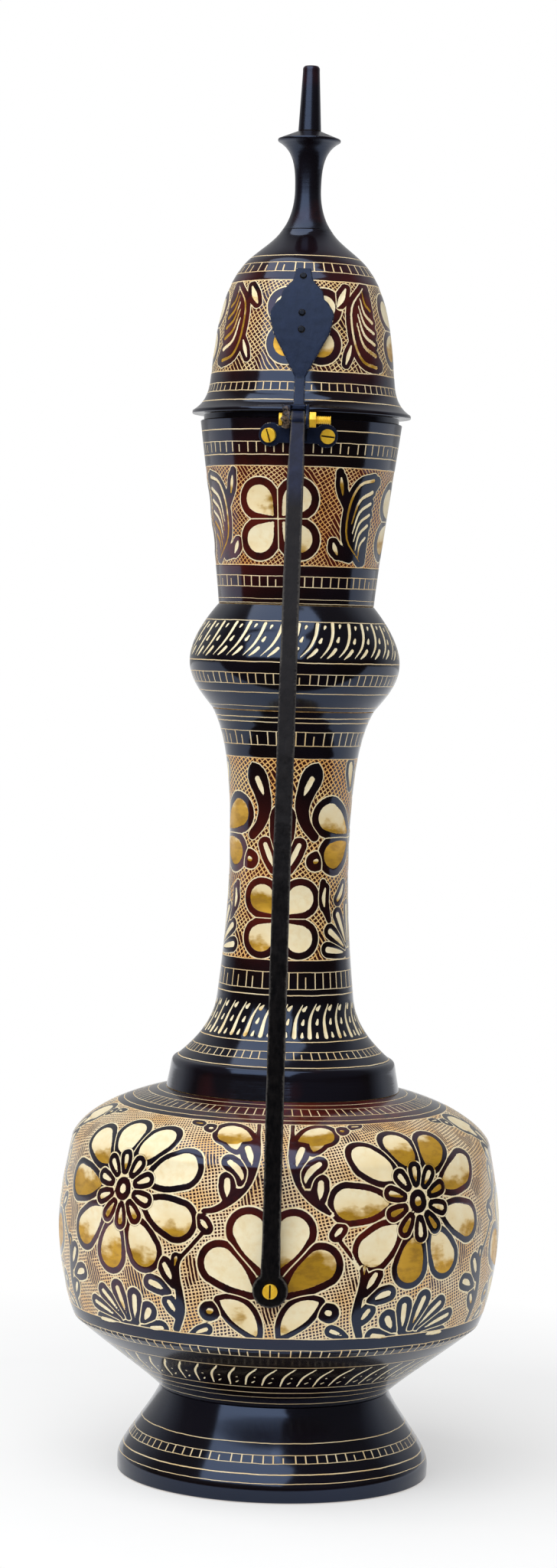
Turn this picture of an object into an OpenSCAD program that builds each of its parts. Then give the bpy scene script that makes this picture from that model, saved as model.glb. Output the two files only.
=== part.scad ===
// Brass surahi: a footed flask with a long neck, a flared mouth cup, a hinged domed lid and a bar handle.
// Millimetres, +Z up. The origin is on the flask's axis at the table, and the handle is on the -Y side.
// Every shell is a turned piece with its own wall, and seats on the next by a flat land and a short spigot.

/* [Foot] */
// Radius of the foot at the table
foot_rim_r = 59; // [54:0.1:66]
// Height of the upright edge around the foot's rim
foot_edge_h = 5; // [2:0.1:8]
// Radius of the waist where the foot meets the bowl
foot_top_r = 43.3; // [39:0.1:47]
// Height of the foot
foot_h = 32; // [28:0.1:38]
// Width of the flat seat that carries the bowl
foot_seat_w = 10; // [7:0.1:14]

/* [Belly] */
// Height of the bowl, from its floor to the seam at the lower corner
bowl_h = 27; // [23:0.1:32]
// Radius of the seam at the lower corner
belly_low_r = 77; // [73:0.1:79]
// Largest radius of the belly
belly_r = 83.7; // [81:0.1:90]
// Height of the largest radius above the seam
belly_mid_h = 37; // [32:0.1:42]
// Radius of the upper corner, where the side turns into the shoulder
corner_r = 79.2; // [74:0.1:80.5]
// Height of the upper corner above the largest radius
corner_h = 31; // [27:0.1:36]
// Rise of the shoulder from the upper corner to the collar
shoulder_h = 18.8; // [16:0.1:23]

/* [Collar and neck] */
// Radius of the collar on the shoulder
collar_low_r = 44.2; // [42.5:0.1:47]
// Radius of the collar under the neck
collar_top_r = 42.2; // [41:0.1:44]
// Height of the collar
collar_h = 11.7; // [9:0.1:15]
// Wall of the collar
collar_wall = 2.2; // [1.8:0.1:3]
// Radius of the neck's skirt, where it stands on the collar
skirt_r = 40.6; // [39.5:0.1:42]
// Width of the flat seat under the skirt
skirt_seat_w = 6; // [5:0.1:8]
// Radius at the top of the skirt's flare
flare_r = 26; // [24.5:0.1:28]
// Height of the skirt's flare
flare_h = 22.5; // [19:0.1:27]
// Radius of the neck's waist
waist_r = 22.6; // [20:0.1:24.4]
// Height of the waist above the flare
waist_h = 50; // [42:0.1:58]
// Radius at the top of the neck, under the knop
neck_top_r = 30.5; // [29:0.1:33]
// Height of the neck above its waist
neck_rise_h = 59.5; // [52:0.1:68]

/* [Knop and cup] */
// Largest radius of the knop
knop_r = 39.7; // [37:0.1:44]
// Height of the knop's largest radius above the neck
knop_low_h = 18; // [15:0.1:22]
// Height of the knop above its largest radius
knop_high_h = 21.5; // [18:0.1:26]
// Radius of the cup's base, on the knop
cup_low_r = 29.3; // [27:0.1:31.5]
// Radius of the cup at its rim
cup_rim_r = 38; // [37.7:0.1:39]
// Height of the cup
cup_h = 68.5; // [60:0.1:78]

/* [Lid] */
// How far the lid's skirt stands in from the rim's edge
lid_step = 1.2; // [0.6:0.1:1.6]
// Height of the lid's skirt, under the flange
lid_skirt_h = 2.4; // [1.8:0.1:3.4]
// How far the flange stands out past the rim
flange_over = 3.2; // [2:0.1:5]
// Thickness of the flange's edge
flange_t = 1.2; // [0.8:0.1:1.8]
// Radius of the dome above the cove
dome_low_r = 34.9; // [34:0.1:35.4]
// Height of the cove between flange and dome
cove_h = 10.6; // [9:0.1:13]
// Radius at which the dome turns into the ogee
dome_top_r = 23.7; // [21.5:0.1:26]
// Height of the dome
dome_h = 44; // [40:0.1:50]
// Radius of the lid's crown, under the finial
crown_r = 9.3; // [8:0.1:11]
// Height of the ogee between dome and crown
ogee_h = 14; // [12:0.1:17]
// Depth of the locating ring below the skirt
ring_depth = 2.5; // [1.5:0.1:3]
// Wall of the locating ring
ring_wall = 1.2; // [0.8:0.1:1.8]

/* [Finial] */
// Radius of the stem at its waist
stem_r = 4.9; // [4.3:0.1:6]
// Height of the waist above the crown
stem_low_h = 15; // [12:0.1:19]
// Height of the stem above its waist
stem_high_h = 18.2; // [15:0.1:23]
// Radius of the finial's disc
disc_r = 11.8; // [10:0.1:14]
// Thickness of the disc's edge
disc_edge_t = 0.9; // [0.5:0.1:1.5]
// Rise of the disc's top to the spike
disc_rise = 3; // [2:0.1:5]
// Radius of the spike at its base
spike_low_r = 4.3; // [3.8:0.1:5]
// Radius of the spike at its tip
spike_tip_r = 3.1; // [2.6:0.1:3.6]
// Height of the spike
spike_h = 24.4; // [20:0.1:30]
// Radius of the tenon that holds the stem in the crown
tenon_r = 3.5; // [3:0.1:4]
// Radius of the tenon that holds the spike in the disc
spike_tenon_r = 1.5; // [1.2:0.1:1.9]
// Length of the spike's tenon
spike_tenon_l = 8; // [6:0.1:11]

/* [Hinge] */
// Distance of the hinge axis outside the flange
hinge_out = 4; // [3.7:0.1:5]
// Drop of the hinge axis below the cup's rim
hinge_drop = 0.9; // [0.3:0.1:1.2]
// Radius of the handle's eye
eye_r = 3.2; // [2.8:0.1:3.5]
// Width of the handle's eye
eye_w = 5.2; // [4.4:0.1:6.4]
// Thickness of the lug on the bolt's head side
lug_head_t = 2.8; // [1.6:0.1:4]
// Thickness of the lug on the nut side
lug_nut_t = 1.2; // [1:0.1:2.4]
// Thickness of the leaf and its strap
leaf_t = 1.2; // [0.9:0.1:1.6]
// Width of the leaf
leaf_w = 23.8; // [20:0.1:28]
// Height of the leaf's lozenge
leaf_h = 41; // [37:0.1:42]
// Height of the lozenge's lower point above the rim
leaf_low_h = 15.4; // [14:0.1:17]
// Width of the strap between lozenge and hinge
strap_w = 4; // [3.2:0.1:5]
// Radius of the hinge bolt
bolt_r = 1.5; // [1.2:0.1:1.6]
// Length of bolt that stands out past the nut
bolt_end_l = 5.4; // [3:0.1:7]
// Radius of the rivets' shanks
rivet_r = 0.9; // [0.7:0.1:1.1]

/* [Handle] */
// Width of the bar
bar_w = 6; // [5.3:0.1:7.5]
// Thickness of the bar
bar_t = 4; // [3.2:0.1:4.6]
// How far the kink under the eye stands out from the hinge axis
kink_out = 11.5; // [9:0.1:14]
// Drop from the hinge axis to the kink
kink_drop = 20; // [17:0.1:25]
// How far the bar bows out past the belly
bow_out = 5; // [2:0.1:12]
// Height of the handle's screw above the belly's seam
handle_screw_h = 24.5; // [20:0.1:32]
// Radius of the round pad at the handle's foot
pad_r = 6.4; // [5.6:0.1:7.6]
// Thickness of the pad
pad_t = 3.4; // [2.6:0.1:4.4]
// Distance between the bracket's two screws
bracket_span = 20.4; // [17:0.1:24]
// Radius of the bracket's round ears
ear_r = 4.4; // [3.8:0.1:5]
// Thickness of the bracket's plate
bracket_t = 1.4; // [1:0.1:1.9]
// Drop of the bracket's screws below the rim
bracket_drop = 6.2; // [6:0.1:7.2]

/* [Walls, screws and fits] */
// Wall of the turned shells
wall = 1.6; // [1.2:0.1:2]
// Length of the spigots
lap = 4; // [3:0.1:5]
// Radius of the brass screws
screw_r = 1.5; // [1.2:0.1:1.7]
// Radius of the screws' heads
screw_head_r = 2.7; // [2.3:0.1:3.2]
// Height of the screws' heads
screw_head_h = 1.5; // [1:0.1:2]
// Width of a nut across its flats
nut_flats = 5.5; // [4.8:0.1:5.6]
// Height of a nut
nut_h = 2.4; // [1.8:0.1:2.8]
// Gap of a brazed or screwed joint
fit = 0.1; // [0.05:0.01:0.15]
// Gap of the turning hinge
running = 0.05; // [0.02:0.01:0.08]
// Gap between pieces that pass each other
clear = 0.4; // [0.3:0.05:0.6]

/* [Hidden] */
$fn = 96;
curve_steps = 12;
small_fn = 48;

// Finishes
lacquer = [0.05, 0.04, 0.05];
brass = [0.85, 0.66, 0.25];

// Levels of the stacked pieces
z_bowl = foot_h;
z_barrel = z_bowl + bowl_h;
z_belly = z_barrel + belly_mid_h;
z_corner = z_belly + corner_h;
z_collar = z_corner + shoulder_h;
z_neck = z_collar + collar_h;
z_flare = z_neck + flare_h;
z_waist = z_flare + waist_h;
z_knop = z_waist + neck_rise_h;
z_knop_mid = z_knop + knop_low_h;
z_cup = z_knop_mid + knop_high_h;
z_rim = z_cup + cup_h;
z_lid = z_rim + fit;
z_flange = z_lid + lid_skirt_h;
z_dome = z_flange + flange_t + cove_h;
z_ogee = z_dome + dome_h;
z_crown = z_ogee + ogee_h;
z_stem = z_crown + stem_low_h;
z_disc = z_stem + stem_high_h;
z_spike = z_disc + disc_edge_t + disc_rise;
z_hinge = z_rim - hinge_drop;
z_bracket = z_rim - bracket_drop;
z_handle_screw = z_barrel + handle_screw_h;

// A cubic curve from a to b. Its two handles, p and q, are given as shares of the way from a to b
function curve(a, b, p, q) = [
    for (i = [0:curve_steps])
        let (t = i / curve_steps, s = 1 - t,
             c = a + [p[0] * (b[0] - a[0]), p[1] * (b[1] - a[1])],
             d = a + [q[0] * (b[0] - a[0]), q[1] * (b[1] - a[1])])
        s * s * s * a + 3 * s * s * t * c + 3 * s * t * t * d + t * t * t * b
];
// A list without its first point, so that two curves can be joined end to end
function rest(points) = [for (i = [1:len(points) - 1]) points[i]];
function reversed(points) = [for (i = [len(points) - 1:-1:0]) points[i]];
// An open line moved sideways to its left by a distance
function offset_left(points, distance) = [
    for (i = [0:len(points) - 1])
        let (before = points[max(i - 1, 0)], after = points[min(i + 1, len(points) - 1)],
             along = (after - before) / norm(after - before))
        points[i] + distance * [-along[1], along[0]]
];
// Radius of an outline at a height, and how fast it grows with height
function radius_at(points, z) = lookup(z, [for (p = points) [p[1], p[0]]]);
function slope_at(points, z) = (radius_at(points, z + 1) - radius_at(points, z - 1)) / 2;
// The stretch of an outline between two heights
function between(points, low, high) = concat(
    [[radius_at(points, low), low]],
    [for (p = points) if (p[1] > low && p[1] < high) p],
    [[radius_at(points, high), high]]
);

// The lid takes its width from the rim that it stands on
lid_skirt_r = cup_rim_r - lid_step;
flange_r = cup_rim_r + flange_over;

// Outlines of the turned pieces, as [radius, height] from the bottom up
foot_line = curve([foot_rim_r, foot_edge_h], [foot_top_r, z_bowl], [0.04, 0.22], [0.8, 0.68]);
bowl_line = curve([foot_top_r, z_bowl], [belly_low_r, z_barrel], [0.2, 0.25], [0.7, 0.68]);
barrel_line = concat(
    curve([belly_low_r, z_barrel], [belly_r, z_belly], [0.52, 0.21], [1, 0.62]),
    rest(curve([belly_r, z_belly], [corner_r, z_corner], [0, 0.32], [0.7, 0.77])),
    rest(curve([corner_r, z_corner], [collar_low_r + fit, z_collar], [0.11, 0.4], [0.47, 0.79]))
);
neck_line = concat(
    curve([skirt_r, z_neck], [flare_r, z_flare], [0.53, 0.29], [0.92, 0.6]),
    rest(curve([flare_r, z_flare], [waist_r, z_waist], [0.29, 0.18], [1, 0.6])),
    rest(curve([waist_r, z_waist], [neck_top_r, z_knop], [0, 0.45], [0.17, 0.8]))
);
knop_line = concat(
    curve([neck_top_r, z_knop], [knop_r, z_knop_mid], [0.39, 0.25], [1, 0.56]),
    rest(curve([knop_r, z_knop_mid], [cup_low_r, z_cup], [0, 0.3], [0.4, 0.65]))
);
cup_line = curve([cup_low_r, z_cup], [cup_rim_r, z_rim], [0.2, 0.28], [0.65, 0.66]);
lid_line = concat(
    curve([flange_r, z_flange + flange_t], [dome_low_r, z_dome], [0.67, 0.25], [0.9, 0.58]),
    rest(curve([dome_low_r, z_dome], [dome_top_r, z_ogee], [0.12, 0.27], [0.18, 0.75])),
    rest(curve([dome_top_r, z_ogee], [crown_r, z_crown], [0.26, 0.36], [0.79, 0.63]))
);
stem_line = concat(
    curve([crown_r, z_crown], [stem_r, z_stem], [0.55, 0.2], [1, 0.57]),
    rest(curve([stem_r, z_stem], [disc_r, z_disc], [0, 0.47], [0.1, 0.82]))
);

// Inner faces of the shells
foot_inner = offset_left(foot_line, wall);
bowl_inner = offset_left(bowl_line, wall);
barrel_inner = offset_left(barrel_line, wall);
neck_inner = offset_left(neck_line, wall);
knop_inner = offset_left(knop_line, wall);
cup_inner = offset_left(cup_line, wall);
lid_inner = offset_left(lid_line, wall);

// Seats and spigots: each spigot takes its radius from the mouth that it enters
foot_seat_in = foot_top_r - foot_seat_w;
bowl_spigot_r = foot_seat_in - fit;
barrel_spigot_r = radius_at(barrel_inner, z_barrel) - fit;
lip_r = min(collar_low_r, collar_top_r) - collar_wall - fit;
lip_h = collar_h - 2 * wall;
neck_spigot_r = min(skirt_r - skirt_seat_w, lip_r - wall - clear);
knop_spigot_r = radius_at(knop_inner, z_knop) - fit;
cup_spigot_r = radius_at(knop_inner, z_cup) - fit;
lid_skirt_in = lid_skirt_r - wall;
lid_ring_r = lid_skirt_in - fit;
lid_ring_top = z_flange + flange_t;
crown_t = 2 * wall;
collar_edge = 1;
tenon_l = crown_t + nut_h + wall;

// Hinge and handle places, as distances in front of the axis
hinge_y = flange_r + hinge_out;
lug_r = eye_r;
lug_head_x = eye_w / 2 + clear / 2 + lug_head_t;
lug_nut_x = eye_w / 2 + clear / 2 + lug_nut_t;
bolt_head_h = 1.2;
bolt_head_r = bolt_r + 0.8;
nut_x = lug_nut_x + clear / 2;
bridge_t = 1.8;
bridge_low = eye_r + clear;
bridge_over = 0.4;
lug_arm_d = 3.2;
leaf_gap = fit / 2;
rivet_head_r = rivet_r + 0.5;
rivet_head_h = 0.6;
// Heights of the rivets, as shares of the lozenge's height
rivet_places = [0.42, 0.57, 0.9];
slot_w = 0.6;
slot_d = 0.5;
// How far the bracket screws' slots are turned, left and right
slot_turns = [15, 85];
bracket_bar_h = 6;
bracket_stem_h = 4.4;
bracket_angle = asin(bracket_span / 2 / radius_at(cup_line, z_bracket));
handle_foot_y = radius_at(barrel_line, z_handle_screw);

// A solid of revolution about the flask's axis
module turned(points) {
    rotate_extrude() polygon(points);
}

// Places children on a turned wall, at an angle round from the front, with +Z along the outward normal
module on_wall(line, angle, z) {
    rotate([0, 0, angle])
        translate([0, -radius_at(line, z), z])
            rotate([90 + atan(slope_at(line, z)), 0, 0])
                children();
}

// Stands an outline drawn in X and Z upright, as a slab of that depth in front of the axis
module slab(points, depth) {
    rotate([90, 0, 0]) linear_extrude(depth) polygon(points);
}

// Lays an outline drawn as [distance in front of the axis, height] across the width of a strip
module strip(points, width) {
    translate([-width / 2, 0, 0])
        rotate([90, 0, 90])
            linear_extrude(width) polygon([for (p = points) [-p[0], p[1]]]);
}

// A cylinder along X about the hinge axis, from one side to the other
module hinge_rod(r, from, to) {
    translate([from, -hinge_y, z_hinge])
        rotate([0, 90, 0])
            cylinder(r = r, h = to - from, $fn = small_fn);
}

// A hexagon nut standing on its face, with its thread's hole
module hex_nut(flats, height, hole_r) {
    difference() {
        rotate([0, 0, 30]) cylinder(r = flats / 2 / cos(30), h = height, $fn = 6);
        translate([0, 0, -fit]) cylinder(r = hole_r, h = height + 2 * fit, $fn = small_fn);
    }
}

// A slotted screw, its head standing up from Z = 0 and its shank hanging below
module slotted_screw(shank_l) {
    difference() {
        union() {
            cylinder(r = screw_head_r, h = screw_head_h, $fn = small_fn);
            translate([0, 0, -shank_l]) cylinder(r = screw_r, h = shank_l + fit, $fn = small_fn);
        }
        translate([-slot_w / 2, -screw_head_r - fit, screw_head_h - slot_d])
            cube([slot_w, 2 * (screw_head_r + fit), slot_d + fit]);
    }
}

// Flared hollow foot with the flat seat that carries the bowl
module foot() {
    color(lacquer) turned(concat(
        [[foot_rim_r - wall, 0], [foot_rim_r, 0]],
        foot_line,
        [[foot_seat_in, z_bowl], [foot_seat_in, z_bowl - wall]],
        reversed(between(foot_inner, foot_edge_h, z_bowl - wall))
    ));
}

// Closed bowl under the seam: floor, cone and the spigot that enters the barrel
module belly_bowl() {
    spigot_in = barrel_spigot_r - wall;
    color(lacquer) turned(concat(
        [[0, z_bowl], [bowl_spigot_r - wall, z_bowl], [bowl_spigot_r - wall, z_bowl - lap]],
        [[bowl_spigot_r, z_bowl - lap], [bowl_spigot_r, z_bowl]],
        bowl_line,
        [[barrel_spigot_r, z_barrel], [barrel_spigot_r, z_barrel + lap], [spigot_in, z_barrel + lap]],
        [[spigot_in, z_barrel]],
        reversed([for (p = bowl_inner) if (p[0] < spigot_in && p[1] > z_bowl + wall) p]),
        [[0, z_bowl + wall]]
    ));
}

// Barrel and shoulder of the belly, with the land and lip that carry the collar
module belly_barrel() {
    color(lacquer) difference() {
        turned(concat(
            [[radius_at(barrel_inner, z_barrel), z_barrel]],
            barrel_line,
            [[lip_r, z_collar], [lip_r, z_collar + lip_h], [lip_r - wall, z_collar + lip_h]],
            [[lip_r - wall, z_collar - wall]],
            reversed([for (p = barrel_inner) if (p[1] > z_barrel && p[1] < z_collar - wall) p])
        ));
        on_wall(barrel_line, 0, z_handle_screw)
            translate([0, 0, -3 * wall]) cylinder(r = screw_r + fit, h = 6 * wall, $fn = small_fn);
    }
}

// Ring that caps the shoulder's lip and carries the neck
module collar_ring() {
    inner_r = lip_r + fit;
    color(lacquer) turned([
        [inner_r, z_collar], [collar_low_r, z_collar],
        [collar_top_r, z_neck - collar_edge], [collar_top_r - collar_edge, z_neck],
        [neck_spigot_r + fit, z_neck], [neck_spigot_r + fit, z_neck - wall],
        [inner_r, z_neck - wall]
    ]);
}

// Long waisted neck with its flared skirt, and a spigot at each end
module neck_tube() {
    foot_in = neck_spigot_r - wall;
    top_in = knop_spigot_r - wall;
    color(lacquer) turned(concat(
        [[foot_in, z_neck - lap], [neck_spigot_r, z_neck - lap], [neck_spigot_r, z_neck]],
        neck_line,
        [[knop_spigot_r, z_knop], [knop_spigot_r, z_knop + lap], [top_in, z_knop + lap]],
        reversed([for (p = neck_inner) if (p[0] < foot_in && p[1] < z_knop - lap) p])
    ));
}

// Hollow bulge between the neck and the cup
module knop() {
    color(lacquer) turned(concat(
        knop_line,
        reversed(between(knop_inner, z_knop, z_cup))
    ));
}

// Flared cup of the mouth, with the spigot that enters the knop
module mouth_cup() {
    spigot_in = cup_spigot_r - wall;
    color(lacquer) difference() {
        turned(concat(
            [[spigot_in, z_cup - lap], [cup_spigot_r, z_cup - lap], [cup_spigot_r, z_cup]],
            cup_line,
            reversed(between(cup_inner, z_cup + 2 * lap, z_rim)),
            [[spigot_in, z_cup + lap]]
        ));
        for (side = [-1, 1])
            on_wall(cup_line, side * bracket_angle, z_bracket)
                translate([0, 0, -3 * wall]) cylinder(r = screw_r + fit, h = 6 * wall, $fn = small_fn);
    }
}

// Domed lid: skirt, flange, cove, dome and ogee up to the crown
module lid_dome() {
    under = z_crown - crown_t;
    color(lacquer) difference() {
        turned(concat(
            [[lid_skirt_in, z_lid], [lid_skirt_r, z_lid], [lid_skirt_r, z_flange], [flange_r, z_flange]],
            lid_line,
            [[tenon_r + fit, z_crown], [tenon_r + fit, under], [radius_at(lid_inner, under), under]],
            reversed([for (p = lid_inner)
                if (p[0] < lid_skirt_in && p[1] > lid_ring_top + fit && p[1] < under - fit) p]),
            [[lid_skirt_in, lid_ring_top + fit]]
        ));
        leaf_rivet_holes();
    }
}

// Ring inside the skirt that centres the lid in the cup's mouth
module lid_ring() {
    color(brass) turned([
        [lid_ring_r - ring_wall, z_lid - ring_depth], [lid_ring_r, z_lid - ring_depth],
        [lid_ring_r, lid_ring_top], [lid_ring_r - ring_wall, lid_ring_top]
    ]);
}

// Turned stem and disc of the finial, with the tenon below and the spike's hole above
module finial_stem() {
    hole_r = spike_tenon_r + fit;
    color(lacquer) turned(concat(
        [[0, z_crown - tenon_l], [tenon_r, z_crown - tenon_l], [tenon_r, z_crown]],
        stem_line,
        [[disc_r, z_disc + disc_edge_t], [spike_low_r, z_spike], [hole_r, z_spike]],
        [[hole_r, z_spike - spike_tenon_l - fit], [0, z_spike - spike_tenon_l - fit]]
    ));
}

// Nut that draws the stem down on the crown, inside the lid
module finial_nut() {
    color(brass) translate([0, 0, z_crown - crown_t - nut_h])
        hex_nut(2 * nut_flats, nut_h, tenon_r + fit);
}

// Tapered spike on top of the disc
module finial_spike() {
    tip_edge = 0.6;
    color(lacquer) turned([
        [0, z_spike - spike_tenon_l], [spike_tenon_r, z_spike - spike_tenon_l], [spike_tenon_r, z_spike],
        [spike_low_r, z_spike], [spike_tip_r, z_spike + spike_h - tip_edge],
        [spike_tip_r - tip_edge, z_spike + spike_h], [0, z_spike + spike_h]
    ]);
}

// Outline of the leaf in X and Z: a scalloped lozenge running down into the strap
function leaf_outline() =
    let (low = z_rim + leaf_low_h, half = leaf_w / 2, tail = strap_w / 2,
         right = [
             [tail, z_hinge + bridge_low], [tail, low], [0.88 * half, low + 0.39 * leaf_h],
             [0.95 * half, low + 0.48 * leaf_h], [half, low + 0.55 * leaf_h], [0.97 * half, low + 0.59 * leaf_h],
             [0.8 * half, low + 0.67 * leaf_h], [0.67 * half, low + 0.7 * leaf_h],
             [0.63 * half, low + 0.77 * leaf_h], [0.3 * half, low + 0.88 * leaf_h], [0.22 * half, low + leaf_h]
         ])
    concat(right, [for (p = reversed(right)) [-p[0], p[1]]]);

// Back face of the leaf, as [distance in front of the axis, height]: it clears the flange and then lies on the dome
leaf_back = concat(
    [[flange_r + clear, z_hinge + bridge_low], [flange_r + clear, z_flange + flange_t + clear]],
    [for (p = lid_line)
        if (p[1] > z_rim + leaf_low_h - leaf_t && p[1] < z_rim + leaf_low_h + leaf_h + leaf_t)
            [p[0] + leaf_gap, p[1]]]
);

// Holes for the rivets, through the leaf and the dome's wall
module leaf_rivet_holes() {
    for (share = rivet_places)
        on_wall(lid_line, 0, z_rim + leaf_low_h + share * leaf_h)
            translate([0, 0, -3 * wall]) cylinder(r = rivet_r + fit / 2, h = 6 * wall, $fn = small_fn);
}

// Leaf riveted to the lid, its strap, and the two lugs that turn on the hinge bolt
module hinge_leaf() {
    inner_x = eye_w / 2 + clear / 2;
    color(lacquer) difference() {
        union() {
            intersection() {
                strip(concat(leaf_back, reversed(offset_left(leaf_back, -leaf_t))), leaf_w + 2 * clear);
                slab(leaf_outline(), 2 * hinge_y);
            }
            translate([-lug_head_x, -hinge_y - bridge_over, z_hinge + bridge_low])
                cube([lug_head_x + lug_nut_x, hinge_out + bridge_over - clear, bridge_t]);
            hinge_rod(lug_r, -lug_head_x, -inner_x);
            hinge_rod(lug_r, inner_x, lug_nut_x);
            for (side = [[-lug_head_x, lug_head_t], [inner_x, lug_nut_t]])
                translate([side[0], -hinge_y - lug_arm_d / 2, z_hinge])
                    cube([side[1], lug_arm_d, bridge_low + bridge_t]);
        }
        hinge_rod(bolt_r + running, -lug_head_x - clear, lug_nut_x + clear);
        leaf_rivet_holes();
    }
}

// Three rivets through leaf and dome
module leaf_rivets() {
    color(lacquer)
        for (share = rivet_places)
            on_wall(lid_line, 0, z_rim + leaf_low_h + share * leaf_h) {
                translate([0, 0, leaf_gap + leaf_t + fit / 2])
                    cylinder(r1 = rivet_head_r, r2 = rivet_r, h = rivet_head_h, $fn = small_fn);
                translate([0, 0, -wall - 2 * fit])
                    cylinder(r = rivet_r, h = wall + leaf_gap + leaf_t + 3 * fit, $fn = small_fn);
                translate([0, 0, -wall - 2 * fit - rivet_head_h])
                    cylinder(r = rivet_head_r, h = rivet_head_h, $fn = small_fn);
            }
}

// Bolt that the lugs turn on
module hinge_bolt() {
    head_x = -lug_head_x - clear / 2;
    color(brass) {
        hinge_rod(bolt_head_r, head_x - bolt_head_h, head_x);
        hinge_rod(bolt_r, head_x - fit, nut_x + nut_h + bolt_end_l);
    }
}

// Nut on the bolt's free end
module hinge_nut() {
    color(brass) translate([nut_x, -hinge_y, z_hinge]) rotate([0, 90, 0])
        hex_nut(nut_flats, nut_h, bolt_r + running);
}

// Middle line of the bar, as [distance in front of the axis, height], from the pad up to the eye
pad_front = handle_foot_y + pad_t;
bar_middle = concat(
    curve([pad_front - bar_t / 2, z_handle_screw], [hinge_y + kink_out, z_hinge - kink_drop],
          [-bow_out / 9, 0.36], [-bow_out / 14, 0.62]),
    [[hinge_y, z_hinge]]
);

// Side of the bar, grown by a gap where something has to clear it
function bar_side(gap) = concat(
    offset_left(bar_middle, -bar_t / 2 - gap),
    reversed(offset_left(bar_middle, bar_t / 2 + gap))
);

// Front of the bar in X and Z: it widens towards the pad
function bar_front() =
    let (right = [[0.62 * bar_w, z_handle_screw], [0.54 * bar_w, z_handle_screw + 3 * pad_r],
                  [bar_w / 2, z_hinge - kink_drop], [eye_w / 2, z_hinge - eye_r], [eye_w / 2, z_hinge + eye_r]])
    concat(right, [for (p = reversed(right)) [-p[0], p[1]]]);

// Bowed bar with the hinge's eye at its top and a round pad at its foot
module handle() {
    color(lacquer) difference() {
        union() {
            intersection() {
                strip(bar_side(0), 2 * bar_w);
                slab(bar_front(), 3 * belly_r);
            }
            hinge_rod(eye_r, -eye_w / 2, eye_w / 2);
            on_wall(barrel_line, 0, z_handle_screw) cylinder(r = pad_r, h = pad_t, $fn = small_fn);
        }
        hinge_rod(bolt_r + running, -bar_w, bar_w);
        on_wall(barrel_line, 0, z_handle_screw)
            translate([0, 0, -pad_t]) cylinder(r = screw_r + fit, h = 4 * pad_t, $fn = small_fn);
        on_wall(barrel_line, 0, z_handle_screw)
            translate([0, 0, pad_t]) cylinder(r = screw_head_r + fit, h = pad_t, $fn = small_fn);
        turned(concat(
            [[0, z_barrel]],
            [for (p = barrel_line) [p[0] + fit, p[1]]],
            [[0, z_collar]]
        ));
    }
}

// Plate with two ears on the cup, and the stem brazed to the back of the bar
module handle_bracket() {
    low = z_bracket - ear_r;
    high = z_bracket + ear_r;
    shell = between(cup_line, low, high);
    stem_depth = hinge_y + kink_out - radius_at(cup_line, high) - bracket_t / 2;
    color(lacquer) difference() {
        union() {
            intersection() {
                turned(concat(
                    [for (p = shell) [p[0] + fit, p[1]]],
                    reversed([for (p = shell) [p[0] + fit + bracket_t, p[1]]])
                ));
                union() {
                    for (side = [-1, 1])
                        translate([side * bracket_span / 2, 0, z_bracket]) rotate([90, 0, 0])
                            cylinder(r = ear_r, h = 2 * cup_rim_r, $fn = small_fn);
                    translate([-bracket_span / 2, -2 * cup_rim_r, z_bracket - bracket_bar_h / 2])
                        cube([bracket_span, 2 * cup_rim_r, bracket_bar_h]);
                }
            }
            translate([-eye_w / 2, -hinge_y - kink_out, z_bracket - bracket_stem_h / 2])
                cube([eye_w, stem_depth, bracket_stem_h]);
        }
        strip(concat(
            reversed(offset_left(bar_middle, bar_t / 2 + fit)),
            [[2 * belly_r, z_handle_screw], [2 * belly_r, z_hinge]]
        ), 4 * bar_w);
        for (side = [-1, 1])
            on_wall(cup_line, side * bracket_angle, z_bracket)
                translate([0, 0, -3 * wall]) cylinder(r = screw_r + fit, h = 6 * wall, $fn = small_fn);
    }
}

// Two slotted screws through the bracket's ears
module bracket_screws() {
    stand = bracket_t + 2 * fit;
    color(brass)
        for (i = [0, 1])
            on_wall(cup_line, (2 * i - 1) * bracket_angle, z_bracket)
                translate([0, 0, stand]) rotate([0, 0, slot_turns[i]])
                    slotted_screw(stand + wall + nut_h + 4 * fit);
}

// Two nuts behind the cup's wall
module bracket_nuts() {
    color(brass)
        for (side = [-1, 1])
            on_wall(cup_line, side * bracket_angle, z_bracket)
                translate([0, 0, -wall - 2 * fit - nut_h]) rotate([0, 0, 30])
                    hex_nut(nut_flats, nut_h, screw_r + fit / 2);
}

// Screw through the pad into the belly's boss
module handle_screw() {
    color(brass) on_wall(barrel_line, 0, z_handle_screw)
        translate([0, 0, pad_t + fit]) slotted_screw(pad_t + wall + lap);
}

// Threaded boss brazed inside the belly's wall
module handle_boss() {
    color(brass) difference() {
        intersection() {
            on_wall(barrel_line, 0, z_handle_screw)
                translate([0, 0, -wall - lap - wall]) cylinder(r = 3 * screw_r, h = lap + 2 * wall, $fn = small_fn);
            turned(concat(
                [[0, z_barrel]],
                [for (p = barrel_inner) [p[0] - fit, p[1]]],
                [[0, z_collar]]
            ));
        }
        on_wall(barrel_line, 0, z_handle_screw)
            translate([0, 0, -2 * lap - 2 * wall]) cylinder(r = screw_r + fit / 2, h = 4 * lap, $fn = small_fn);
    }
}

foot();
belly_bowl();
belly_barrel();
collar_ring();
neck_tube();
knop();
mouth_cup();
lid_dome();
lid_ring();
finial_stem();
finial_nut();
finial_spike();
hinge_leaf();
leaf_rivets();
hinge_bolt();
hinge_nut();
handle();
handle_bracket();
bracket_screws();
bracket_nuts();
handle_screw();
handle_boss();
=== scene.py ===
import math
from types import SimpleNamespace

import bmesh
import bpy
import numpy as np
from mathutils import Matrix, Vector


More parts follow.
